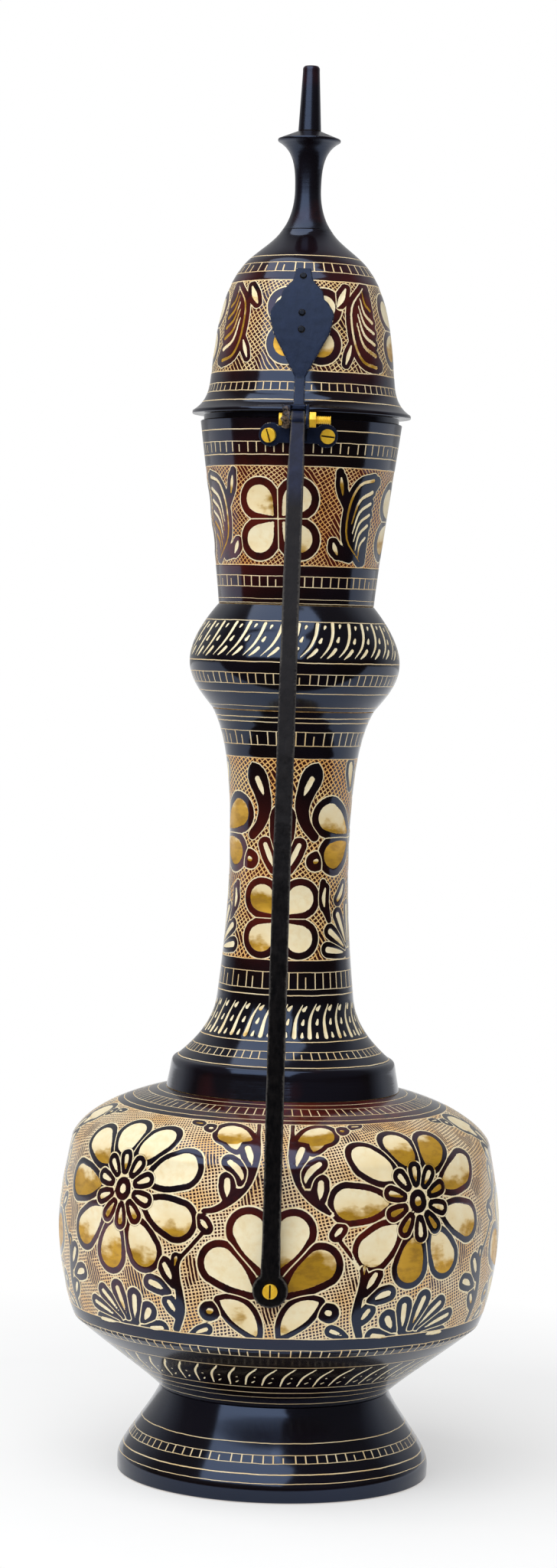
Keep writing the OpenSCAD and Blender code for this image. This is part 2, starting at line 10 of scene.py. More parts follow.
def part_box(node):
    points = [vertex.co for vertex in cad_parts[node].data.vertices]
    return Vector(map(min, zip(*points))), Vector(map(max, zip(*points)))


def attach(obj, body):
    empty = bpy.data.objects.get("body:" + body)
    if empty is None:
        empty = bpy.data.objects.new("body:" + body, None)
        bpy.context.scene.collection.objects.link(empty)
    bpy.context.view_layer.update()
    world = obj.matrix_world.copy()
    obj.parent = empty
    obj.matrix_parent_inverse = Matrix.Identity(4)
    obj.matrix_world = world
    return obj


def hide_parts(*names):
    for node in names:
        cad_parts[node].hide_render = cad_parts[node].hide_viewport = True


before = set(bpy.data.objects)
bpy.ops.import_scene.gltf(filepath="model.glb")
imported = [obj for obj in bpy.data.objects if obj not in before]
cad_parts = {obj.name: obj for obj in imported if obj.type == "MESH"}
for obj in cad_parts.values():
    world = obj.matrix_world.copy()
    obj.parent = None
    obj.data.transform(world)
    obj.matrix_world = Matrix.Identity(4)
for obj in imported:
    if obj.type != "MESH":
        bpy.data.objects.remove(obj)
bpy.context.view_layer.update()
scene = bpy.context.scene
scene.view_settings.view_transform = "Standard"
mm, perMetre = 0.001, 1000
print("frame loaded:", len(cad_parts), "nodes")


def placed(name, data):  # a new object in the scene
    made = bpy.data.objects.new(name, data)
    scene.collection.objects.link(made)
    return made


# one socket of a node tree, with the sums that the shaders below are written in
class Wire:
    def __init__(self, tree, socket=None):
        self.tree, self.socket = tree, socket

    def make(self, kind, settings=None, sockets=None, out=0):
        node = self.tree.nodes.new(kind)
        for key, value in (settings or {}).items():
            setattr(node, key, value)
        for key, value in (sockets or {}).items():
            if isinstance(value, Wire):
                self.tree.links.new(value.socket, node.inputs[key])
            else:
                node.inputs[key].default_value = value
        return Wire(self.tree, node.outputs[out] if len(node.outputs) else None)

    def outlet(self, out):  # another output of the same node
        return Wire(self.tree, self.socket.node.outputs[out])

    def maths(self, operation, *others, clamp=False):
        settings = {"operation": operation, "use_clamp": clamp}
        return self.make("ShaderNodeMath", settings, dict(enumerate((self,) + others)))

    def __add__(self, other): return self.maths("ADD", other)
    def __mul__(self, other): return self.maths("MULTIPLY", other)
    def __sub__(self, other): return self.maths("SUBTRACT", other)
    def __rsub__(self, other):
        return self.make("ShaderNodeMath", {"operation": "SUBTRACT"}, {0: other, 1: self})
    __radd__, __rmul__ = __add__, __mul__

    def larger(self, other): return self.maths("MAXIMUM", other)
    def smaller(self, other): return self.maths("MINIMUM", other)
    def size(self): return self.maths("ABSOLUTE")
    def part(self): return self.maths("FRACT")

    def over(self, edge, soft=0.02):  # 0 below the edge and 1 above it
        return self.maths("MULTIPLY_ADD", 1 / soft, 0.5 - edge / soft, clamp=True)

    def near(self, centre, half, soft=0.06):  # 1 within half of the centre
        return 1 - (self - centre).size().over(half, soft)

    def noise(self, scale, detail=2.0, rough=0.5):
        return self.make("ShaderNodeTexNoise", {}, {
            "Vector": self, "Scale": scale, "Detail": detail, "Roughness": rough})

    def stretch(self, x, y, z):
        return self.make("ShaderNodeVectorMath", {"operation": "MULTIPLY"}, {0: self, 1: (x, y, z)})

    def tint(self, low, high):  # this value picks a colour between two
        return self.make("ShaderNodeMix", {"data_type": "RGBA"}, {0: self, 6: low, 7: high}, out=2)

    def between(self, low, high):  # or mixes two surfaces
        return self.make("ShaderNodeMixShader", {}, {0: self, 1: low, 2: high})

    def bump(self, height, strength):
        return self.make("ShaderNodeBump", {}, {
            "Height": self, "Distance": height, "Strength": strength})


def nodesOf(holder):  # the empty node tree of a new material or world
    holder.use_nodes = True
    holder.node_tree.nodes.clear()
    return Wire(holder.node_tree)


def newMaterial(name):  # with its node tree, and where a point lies on its piece in mm
    material = bpy.data.materials.new(name)
    start = nodesOf(material)
    at = start.make("ShaderNodeTexCoord", out="Object").stretch(perMetre, perMetre, perMetre)
    return material, start, at


def close(material, surface):
    surface.make("ShaderNodeOutputMaterial", {}, {"Surface": surface})
    return material


def attribute(start, name):
    return start.make("ShaderNodeAttribute", {"attribute_name": name}, out="Fac")


finish = SimpleNamespace(
    black=(0.0048, 0.0028, 0.0027, 1), plum=(0.007, 0.005, 0.01, 1),
    # the lacquer's blue specular tint is a painted sky reflection in every sheen
    maroon=(0.085, 0.0105, 0.0055, 1), lacquerSkyReflectionTint=(0.46, 0.62, 1.0, 1),
    cream=(0.98, 0.86, 0.58, 1), straw=(0.86, 0.64, 0.29, 1),
    ochre=(0.64, 0.35, 0.025, 1), umber=(0.3, 0.14, 0.018, 1),
    thinLines=((0.92, 0.76, 0.48, 1), (0.82, 0.58, 0.28, 1)),
    paint=((0.002, 0.002, 0.0025, 1), (0.007, 0.006, 0.006, 1)),
    paintBlueAndSkySheen=(0.01, 0.016, 0.044, 1), paintWornAndHighlight=(0.07, 0.064, 0.058, 1),
    scar=((0.012, 0.009, 0.007, 1), (0.16, 0.105, 0.062, 1)),
    hollowShade=(0.002, 0.002, 0.002, 1), tarnish=(0.015, 0.009, 0.004, 1),
    lacquerRough=0.07, lacquerLevel=0.68, smear=0.1,
    goldRough=0.22, creamMetal=0.06, ochreMetal=0.45,
)
grain = SimpleNamespace(  # noise scales, per mm
    cloud=0.045, red=0.16, smear=0.5, stain=0.36, patch=0.1, mottle=0.35,
    drift=0.12, tremble=0.9, bend=0.06, sparse=0.09, age=0.07, score=1.6, grit=6.0,
    fleck=1.3, brush=1.1, lump=0.35, film=0.4, scratch=1.5, lathe=2.2,
)


def lacquerShader(start, at, warm, normal, duller=0.0):
    cloud = at.noise(grain.cloud, 3)
    colour = (cloud.over(0.52, 0.16) * 0.35).tint(finish.black, finish.plum)
    red = warm * at.noise(grain.red, 3).over(0.36, 0.3)
    colour = red.tint(colour, finish.maroon)
    smear = at.stretch(1, 1, 4).noise(grain.smear, 4)
    # its blue specular tint paints a sky reflection into the lacquer's sheen
    return start.make("ShaderNodeBsdfPrincipled", {}, {
        "Base Color": colour, "Normal": normal,
        "Roughness": smear * finish.smear + (finish.lacquerRough + duller),
        "Specular IOR Level": finish.lacquerLevel, "Specular Tint": finish.lacquerSkyReflectionTint})


def goldShader(start, at, tone, normal, lines=None, lineColour=None):
    stain = at.stretch(0.5, 0.5, 1.2).noise(grain.stain, 4, 0.6)  # level burnishing strokes
    patch = at.noise(grain.patch, 3) * 0.7 + tone * 0.6 + stain * 0.25
    mottle = at.noise(grain.mottle, 4, 0.6).over(0.58, 0.3) * 0.55
    deep = patch.over(0.98, 0.14)  # deep ochre where a petal's random tone runs deep, and on its lower side, where it is painted shade
    colour = mottle.larger(patch.over(0.85, 0.3) * 0.8).tint(finish.cream, finish.straw)
    colour = deep.tint(colour, finish.ochre)
    colour = (stain.over(0.55, 0.2) * deep * 0.5).tint(colour, finish.umber)
    metal = deep * (finish.ochreMetal - finish.creamMetal) + finish.creamMetal
    if lines:
        colour = lines.tint(colour, lineColour)
        metal = metal * (1 - lines) + lines * finish.creamMetal
    return start.make("ShaderNodeBsdfPrincipled", {}, {
        "Base Color": colour, "Normal": normal, "Metallic": metal,
        "Roughness": stain * 0.22 + finish.goldRough})


# the engraver's hand: how far lines stray (mm), how ragged motifs are, and the rungs of ladders
hand = SimpleNamespace(drift=0.5, tremble=0.12, ragged=0.1, rung=0.06, jitter=0.24, short=0.3, edge=0.13)
outlineAt, groundAt = -1, -1.16  # a motif's field is 0 where its gold begins and -1 on its outline


def ladder(u, vLine, low, top, count, foot=True):  # uneven rungs under a ring, or between two
    turn = u * count
    step = turn.maths("FLOOR")
    luck = step.make("ShaderNodeTexWhiteNoise", {"noise_dimensions": "1D"}, {"W": step})
    spot = turn.part() + luck * hand.jitter - hand.jitter / 2
    shorter = luck.over(0.72, 0.1) * (hand.short * (top - low))
    span = vLine.over(low, 0.1) * (1 - (vLine + shorter).over(top, 0.1))
    edges = vLine.near(top, hand.edge)
    if foot:
        edges = edges.larger(vLine.near(low, hand.edge))
    return (spot.near(0.5, hand.rung, 0.03) * span).larger(edges)


# two ways of slanting cuts, the second left out in places
def hatching(at, u, v, hatch, wander, shake):
    bend = at.noise(grain.bend, 2) - 0.5
    first = u * hatch["turns"] + v * hatch["rise"] + bend * 3 + shake * 0.3
    second = u * hatch["turnsBack"] - v * hatch["riseBack"] - bend * 2 + wander + shake * 0.3
    weight = hatch["width"] + shake * 0.08
    lineA, lineB = (1 - ((way.part() - 0.5).size() - weight).over(0, 0.1) for way in (first, second))
    return lineA.larger(lineB * at.noise(grain.sparse, 1).over(0.4, 0.04))


# gold inside a motif, on its outline, and where two outlines meet
def motifGold(high, low, thin, seam, soft, inner):
    gold = high.over(0).larger(high.near(outlineAt, thin, 0.05))
    meet = (high - low).near(0, thin * seam, soft) * low.over(outlineAt) * (1 - high.over(inner))
    return gold.larger(meet)


# lacquer with rings, ladders and hatched, petalled bands cut through to the brass
def engraved(name, look):
    material, start, at = newMaterial(name)
    uv = start.make("ShaderNodeUVMap", {"uv_map": "wrap"})
    u = uv.make("ShaderNodeSeparateXYZ", {}, {0: uv})  # turns round the wall
    v = u.outlet(1)  # mm up the wall
    wander = at.noise(grain.drift, 2) - 0.5
    shake = at.noise(grain.tremble, 2) - 0.5
    vLine = v + wander * hand.drift + shake * hand.tremble
    cuts = [vLine.near(place, half) for place, half in look["rings"]]
    cuts += [ladder(u, vLine, *settings) for settings in look["ladders"]]
    lines = cuts[0]
    for cut in cuts[1:]:
        lines = lines.larger(cut)
    ownGold = lines  # cuts that aren't toned petal by petal
    tone, warm = attribute(start, "tone"), attribute(start, "warm")
    age = at.noise(grain.age, 2).over(0.5, 0.3)
    lineColour = age.tint(*finish.thinLines)
    a, b, c = (attribute(start, "cut" + k) for k in "ABC")
    ragged = shake * hand.ragged
    high = a.larger(b).larger(c) + ragged
    cut = high.over(0)
    if "floral" in look:
        low, top = look["floral"]
        thin, hatch = look["line"], look["hatch"]
        middle = a.smaller(b).larger(a.larger(b).smaller(c)) + ragged
        fineA, fineB = attribute(start, "fineA"), attribute(start, "fineB")
        fine = fineA.larger(fineB) + ragged
        onFine = fine.over(groundAt)
        band = v.over(low, 0.1) * (1 - v.over(top, 0.1))
        ground = (1 - onFine) * (1 - high.over(outlineAt - thin)) * band
        bigGold = motifGold(high, middle, thin, 1.5, 0.05, -0.12)
        bigGold = bigGold.larger(ground * hatching(at, u, v, hatch, wander, shake))
        fineGold = motifGold(fine, fineA.smaller(fineB), thin, 1.6, 0.06, -0.1)
        flowers = onFine.make("ShaderNodeMix", {"data_type": "FLOAT"}, {
            0: onFine, 2: bigGold, 3: fineGold})
        cut = flowers * band + cut * (1 - band)
        ownGold = lines.larger(ground)
        lineColour = ground.tint(lineColour, age.tint(*hatch["colours"]))
        warm = warm.larger(ground * hatch["warm"])
    gold = lines.larger(cut)
    scored = at.stretch(1, 1, 2.4).noise(grain.score, 3)
    raised = (1 - gold) * 0.3
    goldNormal = (raised + scored * 0.1 + at.noise(grain.grit, 2) * 0.02).bump(0.35 * mm, 0.55)
    blackNormal = (raised + at.noise(0.25, 2) * 0.06).bump(0.35 * mm, 0.4)
    lacquer = lacquerShader(start, at, warm, blackNormal)
    brass = goldShader(start, at, tone, goldNormal, ownGold, lineColour)
    return close(material, gold.between(lacquer, brass))


def plainLacquer(name, dull):  # turned and lacquered, with the lathe's faint rings
    material, start, at = newMaterial(name)
    rub = (attribute(start, "worn") + (at.noise(0.7, 4) - 0.5) * 0.9).over(0.95, 0.25)
    lathe = at.stretch(0.02, 0.02, 1).noise(grain.lathe, 3)
    normal = (lathe * 0.4 + at.noise(0.3, 2) * 0.3).bump(0.12 * mm, 0.35)
    lacquer = lacquerShader(start, at, at.noise(0.05, 1).over(0.62, 0.1) * 0.15, normal, dull)
    brass = goldShader(start, at, at.noise(0.3, 1), normal)
    return close(material, rub.between(lacquer, brass))


# brushed black paint over brass, bluer above a height (a painted sky sheen on the handle, blue paint on
# the hinge pieces), lighter on worn edges (on the handle also a painted highlight), painted shade in
# hollows, rubbed through on the edges
def ironPaint(name, look):
    material, start, at = newMaterial(name)
    worn = attribute(start, "worn")
    flecks = at.noise(grain.fleck, 5, 0.7)
    rub = (worn * 0.8 + flecks - 0.5).over(look["rubbed"], 0.16)
    brushed = at.stretch(1, 1, 0.35).noise(grain.brush, 4)
    lumps = at.noise(grain.lump, 3)
    height = at.make("ShaderNodeSeparateXYZ", {}, {0: at}, out=2)
    # above a height the paint turns blue: a painted sky sheen on the handle, blue paint on the hinge
    # pieces
    blueAndSheen = height.over(look["blueAndSheenFrom"], 8) * (lumps * 0.8 + 0.3)
    colour = (brushed * lumps * 2).over(0.5, 0.5).tint(*finish.paint)
    colour = blueAndSheen.tint(colour, finish.paintBlueAndSkySheen)
    # edges turn lighter: worn paint, and on the handle (edge 0.4) also a painted highlight along the
    # bevels
    colour = (worn * look["edge"] + flecks - 0.3).over(0.56, 0.4).tint(colour, finish.paintWornAndHighlight)
    # hollows painted near black: painted shade in creases and recesses
    colour = attribute(start, "hollow").over(0.3, 0.5).tint(colour, finish.hollowShade)
    bare = (attribute(start, "bare") * (flecks + 0.7)).over(0.5, 0.5)  # paint gone, the metal scarred
    colour = bare.tint(colour, flecks.over(0.53, 0.2).tint(*finish.scar))
    normal = (lumps * 0.5 + brushed * 0.25 + flecks * 0.12 - rub * 0.12).bump(0.5 * mm, 0.5)
    # the paint's specular tint comes from its look; the blue one on the hinge pieces and rivets is a
    # painted sky reflection
    paint = start.make("ShaderNodeBsdfPrincipled", {}, {
        "Base Color": colour, "Roughness": brushed * 0.2 + 0.26, "Normal": normal,
        "Specular IOR Level": look["level"], "Specular Tint": look["shine"]})
    brass = goldShader(start, at, at.noise(0.2, 2), normal)
    return close(material, rub.between(paint, brass))


def bareBrass(name, look):  # machined or spun brass with tarnish in the hollows
    material, start, at = newMaterial(name)
    film = at.noise(grain.film, 4, 0.6)
    colour = film.over(0.5, 0.35).tint(*look["colours"])
    dirt = (1 - attribute(start, "worn")) * film * look["dirt"]
    colour = dirt.over(0.42, 0.25).tint(colour, finish.umber)
    colour = attribute(start, "hollow").over(0.35, 0.4).tint(colour, finish.tarnish)
    scratch = at.stretch(1, 1, 6).noise(grain.scratch, 4)
    normal = (scratch * 0.5 + film * 0.3).bump(0.15 * mm, 0.35)
    surface = start.make("ShaderNodeBsdfPrincipled", {}, {
        "Base Color": colour, "Metallic": look["metal"],
        "Roughness": film * 0.25 + look["rough"], "Normal": normal})
    return close(material, surface)


screwBrass = bareBrass("screwBrass", dict(
    colours=((0.98, 0.64, 0.05, 1), (0.84, 0.46, 0.02, 1)), rough=0.18, dirt=0.45, metal=0.22))
spunBrass = bareBrass("spunBrass", dict(
    colours=((0.72, 0.52, 0.24, 1), (0.55, 0.37, 0.15, 1)), rough=0.34, dirt=0.8, metal=0.6))
lugPaint = ironPaint("hingePaint", dict(
    rubbed=1.22, level=0.3, blueAndSheenFrom=0, shine=(0.5, 0.66, 1.0, 1), edge=0.15))
handlePaint = ironPaint("handlePaint", dict(
    rubbed=1.42, level=0.15, blueAndSheenFrom=368, shine=(0.95, 0.92, 1.0, 1), edge=0.4))
rivetPaint = ironPaint("rivetPaint", dict(
    rubbed=1.1, level=0.2, blueAndSheenFrom=900, shine=(0.5, 0.66, 1.0, 1), edge=0.3))
turnedLacquer, finialLacquer = plainLacquer("turnedLacquer", 0.0), plainLacquer("finialLacquer", 0.14)
print("plain finishes made")


def readMesh(items, key, width, kind=np.float32):  # one array of a mesh, a row for each item
    values = np.zeros(len(items) * width, kind)
    items.foreach_get(key, values)
    return values.reshape(-1, width)


def store(mesh, name, values):  # a number for each point, which the materials read
    numbers = np.asarray(values, np.float32).ravel()
    mesh.attributes.new(name, "FLOAT", "POINT").data.foreach_set("value", numbers)


samePlace = 0.02  # mm within which two points are one, or a point is on the axis
bendLimit = 0.92  # cosine of the turn at which a line has a corner
offWall, blank = -50.0, -9.0  # v away from the outside, and a field without any motif


# the closed outline (radius, height) of a turned node in mm, from the half that has no holes
def outlineOf(node):
    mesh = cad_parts[node].data
    co = readMesh(mesh.vertices, "co", 3).astype(float) * perMetre
    edges = readMesh(mesh.edges, "vertices", 2, np.int32)
    flat = np.stack([np.hypot(co[:, 0], co[:, 1]), co[:, 2]], 1)
    edges = edges[((co[:, 1] > 0.4) | (flat[:, 0] < samePlace))[edges].all(1)]
    points, links, rounded, ids = [], {}, {}, {}

    def nameOf(p):
        for i, q in enumerate(points):
            if abs(p[0] - q[0]) < samePlace and abs(p[1] - q[1]) < samePlace:
                return i
        points.append(p)
        return len(points) - 1

    for k in np.unique(edges):
        key = (round(flat[k, 0], 2), round(flat[k, 1], 2))
        if key not in rounded:
            rounded[key] = nameOf((flat[k, 0], flat[k, 1]))
        ids[k] = rounded[key]
    for a, b in edges:
        i, j = ids[a], ids[b]
        if i != j:
            links.setdefault(i, set()).add(j)
            links.setdefault(j, set()).add(i)
    ends = [i for i in links if len(links[i]) == 1]
    loop = [min(ends or links, key=lambda i: (points[i][1], -points[i][0]))]
    while True:
        ways = [j for j in links[loop[-1]] if j not in loop]
        if not ways:
            break
        here = points[loop[-1]]
        loop.append(min(ways, key=lambda j: math.hypot(points[j][0] - here[0], points[j][1] - here[1])))
    line = [points[i] for i in loop]
    if ends:  # the outline meets the axis at both ends
        first, last = line[0], line[-1]
        if first[0] > samePlace:
            line = [(0.0, first[1])] + line
        if last[0] > samePlace:
            line = line + [(0.0, last[1])]
    line = np.array(line)
    after = np.roll(line, -1, 0)
    area = np.sum(line[:, 0] * after[:, 1] - after[:, 0] * line[:, 1])
    return line if area > 0 else line[::-1]


def turnAt(p, q, r):  # how far a line turns at its middle point, to the left
    a, b = q - p, r - q
    return math.atan2(a[0] * b[1] - a[1] * b[0], a @ b) if np.any(a) and np.any(b) else 0


sharpDegrees, smoothDegrees = 32, 30  # corners given a flat, and edges still shaded smooth


def softCorners(line, size):  # a small flat on every sharp corner
    out = []
    for k in range(len(line)):
        p, q, r = line[k - 1], line[k], line[(k + 1) % len(line)]
        if abs(math.degrees(turnAt(p, q, r))) > sharpDegrees and q[0] > 0.05:
            a, b = q - p, r - q
            la, lb = np.hypot(*a), np.hypot(*b)
            cut = min(size, la * 0.3, lb * 0.3)
            out += [q - a / la * cut, q + b / lb * cut]
        else:
            out.append(q)
    return np.array(out)


def reachOf(line):  # the steps of a line, and how far along it each point lies
    step = np.hypot(*np.diff(line, axis=0).T)
    return step, np.concatenate([[0], np.cumsum(step)])


def smoothAlong(line, marks):  # places at given lengths along a line, on a curve through its points
    step, reach = reachOf(line)
    slope = np.zeros_like(line)
    d = np.diff(line, axis=0) / step[:, None]
    for k in range(len(line)):
        before, after = d[max(k - 1, 0)], d[min(k, len(d) - 1)]
        slope[k] = np.nan if before @ after < bendLimit else (before + after) / 2  # a corner stays one
    out = np.zeros((len(marks), 2))
    seat = np.clip(np.searchsorted(reach, marks, "right") - 1, 0, len(step) - 1)
    for n, (m, k) in enumerate(zip(marks, seat)):
        h = step[k]
        t = (m - reach[k]) / h
        s0 = d[k] if np.isnan(slope[k, 0]) else slope[k]
        s1 = d[k] if np.isnan(slope[k + 1, 0]) else slope[k + 1]
        out[n] = ((2 * t**3 - 3 * t**2 + 1) * line[k] + (t**3 - 2 * t**2 + t) * h * s0
                  + (3 * t**2 - 2 * t**3) * line[k + 1] + (t**3 - t**2) * h * s1)
    return out


def fewer(line, stray):  # drops points that lie within stray of the line without them
    if len(line) < 3:
        return line
    run = line[-1] - line[0]
    off = line - line[0]
    far = np.abs(off[:, 0] * run[1] - off[:, 1] * run[0]) / max(np.hypot(*run), 1e-9)
    k = int(np.argmax(far[1:-1])) + 1
    if far[k] < stray:
        return line[[0, -1]]
    return np.concatenate([fewer(line[:k + 1], stray)[:-1], fewer(line[k:], stray)])


# a turned wall as rows and columns: its outside in fine steps, the rest as it is in the frame
class Wall:
    cornerFlat, cornerGap, hiddenStray = 0.22, 0.12, 0.12  # mm

    def __init__(self, spec):
        line = softCorners(outlineOf(spec["node"]), self.cornerFlat)

        def seatOf(r, z):
            return int(np.argmin(np.hypot(line[:, 0] - r, (line[:, 1] - z) * 1.6)))

        low, high = seatOf(*spec["low"]), seatOf(*spec["high"])
        line = np.roll(line, -low, 0)
        high = (high - low) % len(line)
        outer, hidden = line[:high + 1], fewer(line[high + 1:], self.hiddenStray)
        step, reach = reachOf(outer)
        marks = np.linspace(0, reach[-1], int(reach[-1] / spec["step"]) + 2)
        a = np.diff(outer, axis=0) / step[:, None]
        corner = [reach[k + 1] for k in range(len(a) - 1) if a[k] @ a[k + 1] < bendLimit]
        marks = [m for m in marks if all(abs(m - c) > self.cornerGap for c in corner)]
        marks = np.sort(np.array(marks + corner))
        fine = smoothAlong(outer, marks)
        self.spec, self.v, self.length = spec, marks, reach[-1]
        self.rows = np.concatenate([fine, hidden])
        self.outer = len(fine)
        self.r = fine[:, 0]
        along = np.gradient(fine, marks, axis=0)
        along /= np.maximum(np.hypot(along[:, 0], along[:, 1]), 1e-9)[:, None]
        self.normal = np.stack([along[:, 1], -along[:, 0]], 1)
        self.columns = spec["columns"]
        self.theta = -math.pi + 2 * math.pi * np.arange(self.columns) / self.columns
        shape = (self.outer, self.columns)
        self.cut, self.fine = np.full((3,) + shape, blank), np.full((2,) + shape, blank)
        self.tone, self.warm, self.depth = np.full(shape, 0.5), np.zeros(shape), np.zeros(shape)

    def turnFrom(self, angle):  # each column's turn away from an angle, in radians
        return (self.theta - math.radians(angle) + math.pi) % (2 * math.pi) - math.pi

    def wear(self):  # how sharp the edge of each row is, for the lacquer to rub off
        count = len(self.rows)
        bend = np.array([max(0, turnAt(self.rows[k - 1], self.rows[k], self.rows[(k + 1) % count]))
                         for k in range(count)], float)
        bend[:3] = bend[self.outer - 3:] = 0
        return np.minimum(bend, 1.2)

    def build(self, name, outside):
        count, cols = len(self.rows), self.columns
        r = np.repeat(self.rows[:, 0][:, None], cols, 1)
        z = np.repeat(self.rows[:, 1][:, None], cols, 1)
        r[:self.outer] += self.normal[:, 0:1] * self.depth
        z[:self.outer] += self.normal[:, 1:2] * self.depth
        co = np.stack([r * np.sin(self.theta), -r * np.cos(self.theta), z], -1).reshape(-1, 3) * mm
        i, j = np.arange(count), np.arange(cols)
        up = (i + 1) % count
        if self.rows[:, 0].min() < samePlace:  # a solid that meets the axis needs no wall back down it
            i = i[(self.rows[:, 0] > samePlace) | (self.rows[up, 0] > samePlace)]
            up = (i + 1) % count
        right = (j + 1) % cols
        corners = [(i, j), (i, right), (up, right), (up, j)]
        quads = np.stack([(row[:, None] * cols + col).ravel() for row, col in corners], 1)
        mesh = bpy.data.meshes.new(name)
        mesh.vertices.add(len(co))
        mesh.vertices.foreach_set("co", co.astype(np.float32).ravel())
        mesh.loops.add(quads.size)
        mesh.loops.foreach_set("vertex_index", quads.astype(np.int32).ravel())
        mesh.polygons.add(len(quads))
        mesh.polygons.foreach_set("loop_start", np.arange(0, quads.size, 4, dtype=np.int32))
        mesh.update(calc_edges=True)
        onWall = (i < self.outer - 1) & (up < self.outer)
        v = np.concatenate([self.v, np.full(count - self.outer, offWall)])
        vLow, vHigh = np.where(onWall, v[i], offWall), np.where(onWall, v[up], offWall)
        uvs = np.zeros((len(i), cols, 4, 2), np.float32)
        for corner, (u, height) in enumerate(((j, vLow), (j + 1, vLow), (j + 1, vHigh), (j, vHigh))):
            uvs[:, :, corner, 0], uvs[:, :, corner, 1] = u / cols, height[:, None]
        mesh.uv_layers.new(name="wrap").data.foreach_set("uv", uvs.ravel())
        mesh.materials.append(outside)
        mesh.materials.append(spunBrass)
        slots = np.repeat(np.where(onWall, 0, 1), cols).astype(np.int32)
        mesh.polygons.foreach_set("material_index", slots)
        if "rings" in self.spec:  # an engraved wall
            keys = ("cutA", "cutB", "cutC", "fineA", "fineB", "tone", "warm")
            for key, field in zip(keys, (*self.cut, *self.fine, self.tone, self.warm)):
                full = np.full((count, cols), blank if key[-1] in "ABC" else 0.0, np.float32)
                full[:self.outer] = field
                store(mesh, key, full)
        else:
            store(mesh, "worn", np.repeat(self.wear(), cols))
        mesh.shade_smooth()
        mesh.set_sharp_from_angle(angle=math.radians(smoothDegrees))
        piece = placed(name, mesh)
        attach(piece, self.spec["body"])
        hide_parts(self.spec["node"])
        print(name, "has", len(quads), "faces, wall", round(float(self.length), 1), "mm")


# ornament: a motif is a list of brush strokes (layer, band, points, how much deeper its gold is)
# band is the mm from the gold's edge to the outline, and points are (x, y, half width) in mm
# "cut" takes the emptiest of three fields, so that neighbours keep their own outlines
# "one" takes the third field, "dark" takes it for lacquer in an outline, and "fine" lies on top
def smoothStroke(points):
    path = np.array(points, float)
    if len(path) < 3:
        return path
    q = np.concatenate([[2 * path[0] - path[1]], path, [2 * path[-1] - path[-2]]])
    out = []
    for k in range(1, len(q) - 2):
        a, b, c, d = q[k - 1:k + 3]
        for t in (0, 0.25, 0.5, 0.75):
            out.append(0.5 * (2 * b + (c - a) * t + (2 * a - 5 * b + 4 * c - d) * t * t
                              + (3 * b - a - 3 * c + d) * t**3))
    out = np.array(out + [path[-1]])
    out[:, 2] = np.maximum(out[:, 2], -0.6)  # below 0 a stroke ends in a point
    return out


def insideOf(x, y, points):  # mm inside the stroke, less than 0 outside
    best = np.full(np.broadcast(x, y).shape, -99.0)
    for (ax, ay, ar), (bx, by, br) in zip(points[:-1], points[1:]):
        dx, dy = bx - ax, by - ay
        t = np.clip(((x - ax) * dx + (y - ay) * dy) / max(dx * dx + dy * dy, 1e-9), 0, 1)
        best = np.maximum(best, ar + t * (br - ar) - np.hypot(x - ax - t * dx, y - ay - t * dy))
    return best


# petals from start mm out to an oval, reach being its half width and its heights up and down
def petals(count, start, wide, band, reach, first, spread=360.0, layer="cut", neck=0.35):
    rx, up, down = reach
    out = []
    for k in range(count):
        a = math.radians(first + spread * k / (count if spread == 360 else count - 1))
        c, s = math.cos(a), math.sin(a)
        far = 1 / math.hypot(c / rx, s / (up if s > 0 else down)) - wide
        shape = ((start, wide * neck * 0.6), (start + (far - start) * 0.5, wide * 0.8), (far, wide))
        out.append((layer, band, [(c * d, s * d, w) for d, w in shape]))
    return out


def resized(strokes, across, up, wide=1.0):
    return [(layer, band, [(x * across, y * up, w * wide) for x, y, w in points], *rest)
            for layer, band, points, *rest in strokes]


# how motifs differ in scale, lean (degrees) and place (mm), and how deep (mm) gold and ground lie
cutting = SimpleNamespace(scale=0.018, lean=1.6, shift=0.3, deep=0.42, steep=1.1, ground=0.09)
darkSoft, darkMost = 2.2, 0.9  # mm over which a dark stroke fades in, and how near to gold it comes
rimAt, toneAt, plainAt = -1.3, -0.2, -1.1  # where a stroke ends, its tone ends and the ground begins


def press(wall, v, angle, stroke, line, deeper, luck):  # one stroke into the wall's fields
    layer, band = stroke[:2]
    pad = band * 1.7 + line[:, 2].max() + 0.8
    (left, low), (right, high) = line[:, :2].min(0), line[:, :2].max(0)
    rows = np.where((wall.v > v + low - pad) & (wall.v < v + high + pad))[0]
    if not len(rows):
        return
    turn = wall.turnFrom(angle)
    rMin = max(wall.r[rows].min(), 6)
    cols = np.where((turn * rMin > left - pad * 1.2) & (turn * rMin < right + pad * 1.2))[0]
    if not len(cols):
        return
    x = turn[cols][None, :] * wall.r[rows][:, None]
    y = (wall.v[rows] - v)[:, None]
    depth = insideOf(x, y, line)
    value = depth / band if layer != "dark" else outlineAt + np.minimum(depth / darkSoft, darkMost)
    touched = value > rimAt
    if not touched.any():
        return
    block = np.ix_(rows, cols)
    target = wall.fine if layer == "fine" else wall.cut
    k = 2
    if layer in ("cut", "fine"):
        k = int(np.argmin([field[block][touched].max() for field in target]))
    target[k][block] = np.maximum(target[k][block], value)
    if layer != "dark":  # each petal its own gold, with painted shade making it deeper on the lower side
        tall = max(np.ptp(line[:, 1]) / 2 + line[:, 2].max(), 1)
        rise = np.clip((y - line[:, 1].mean()) / tall, -1, 1)
        shade = luck.random() - luck.uniform(0.1, 0.7) * rise + deeper
        wall.tone[block] = np.where(value > toneAt, shade, wall.tone[block])


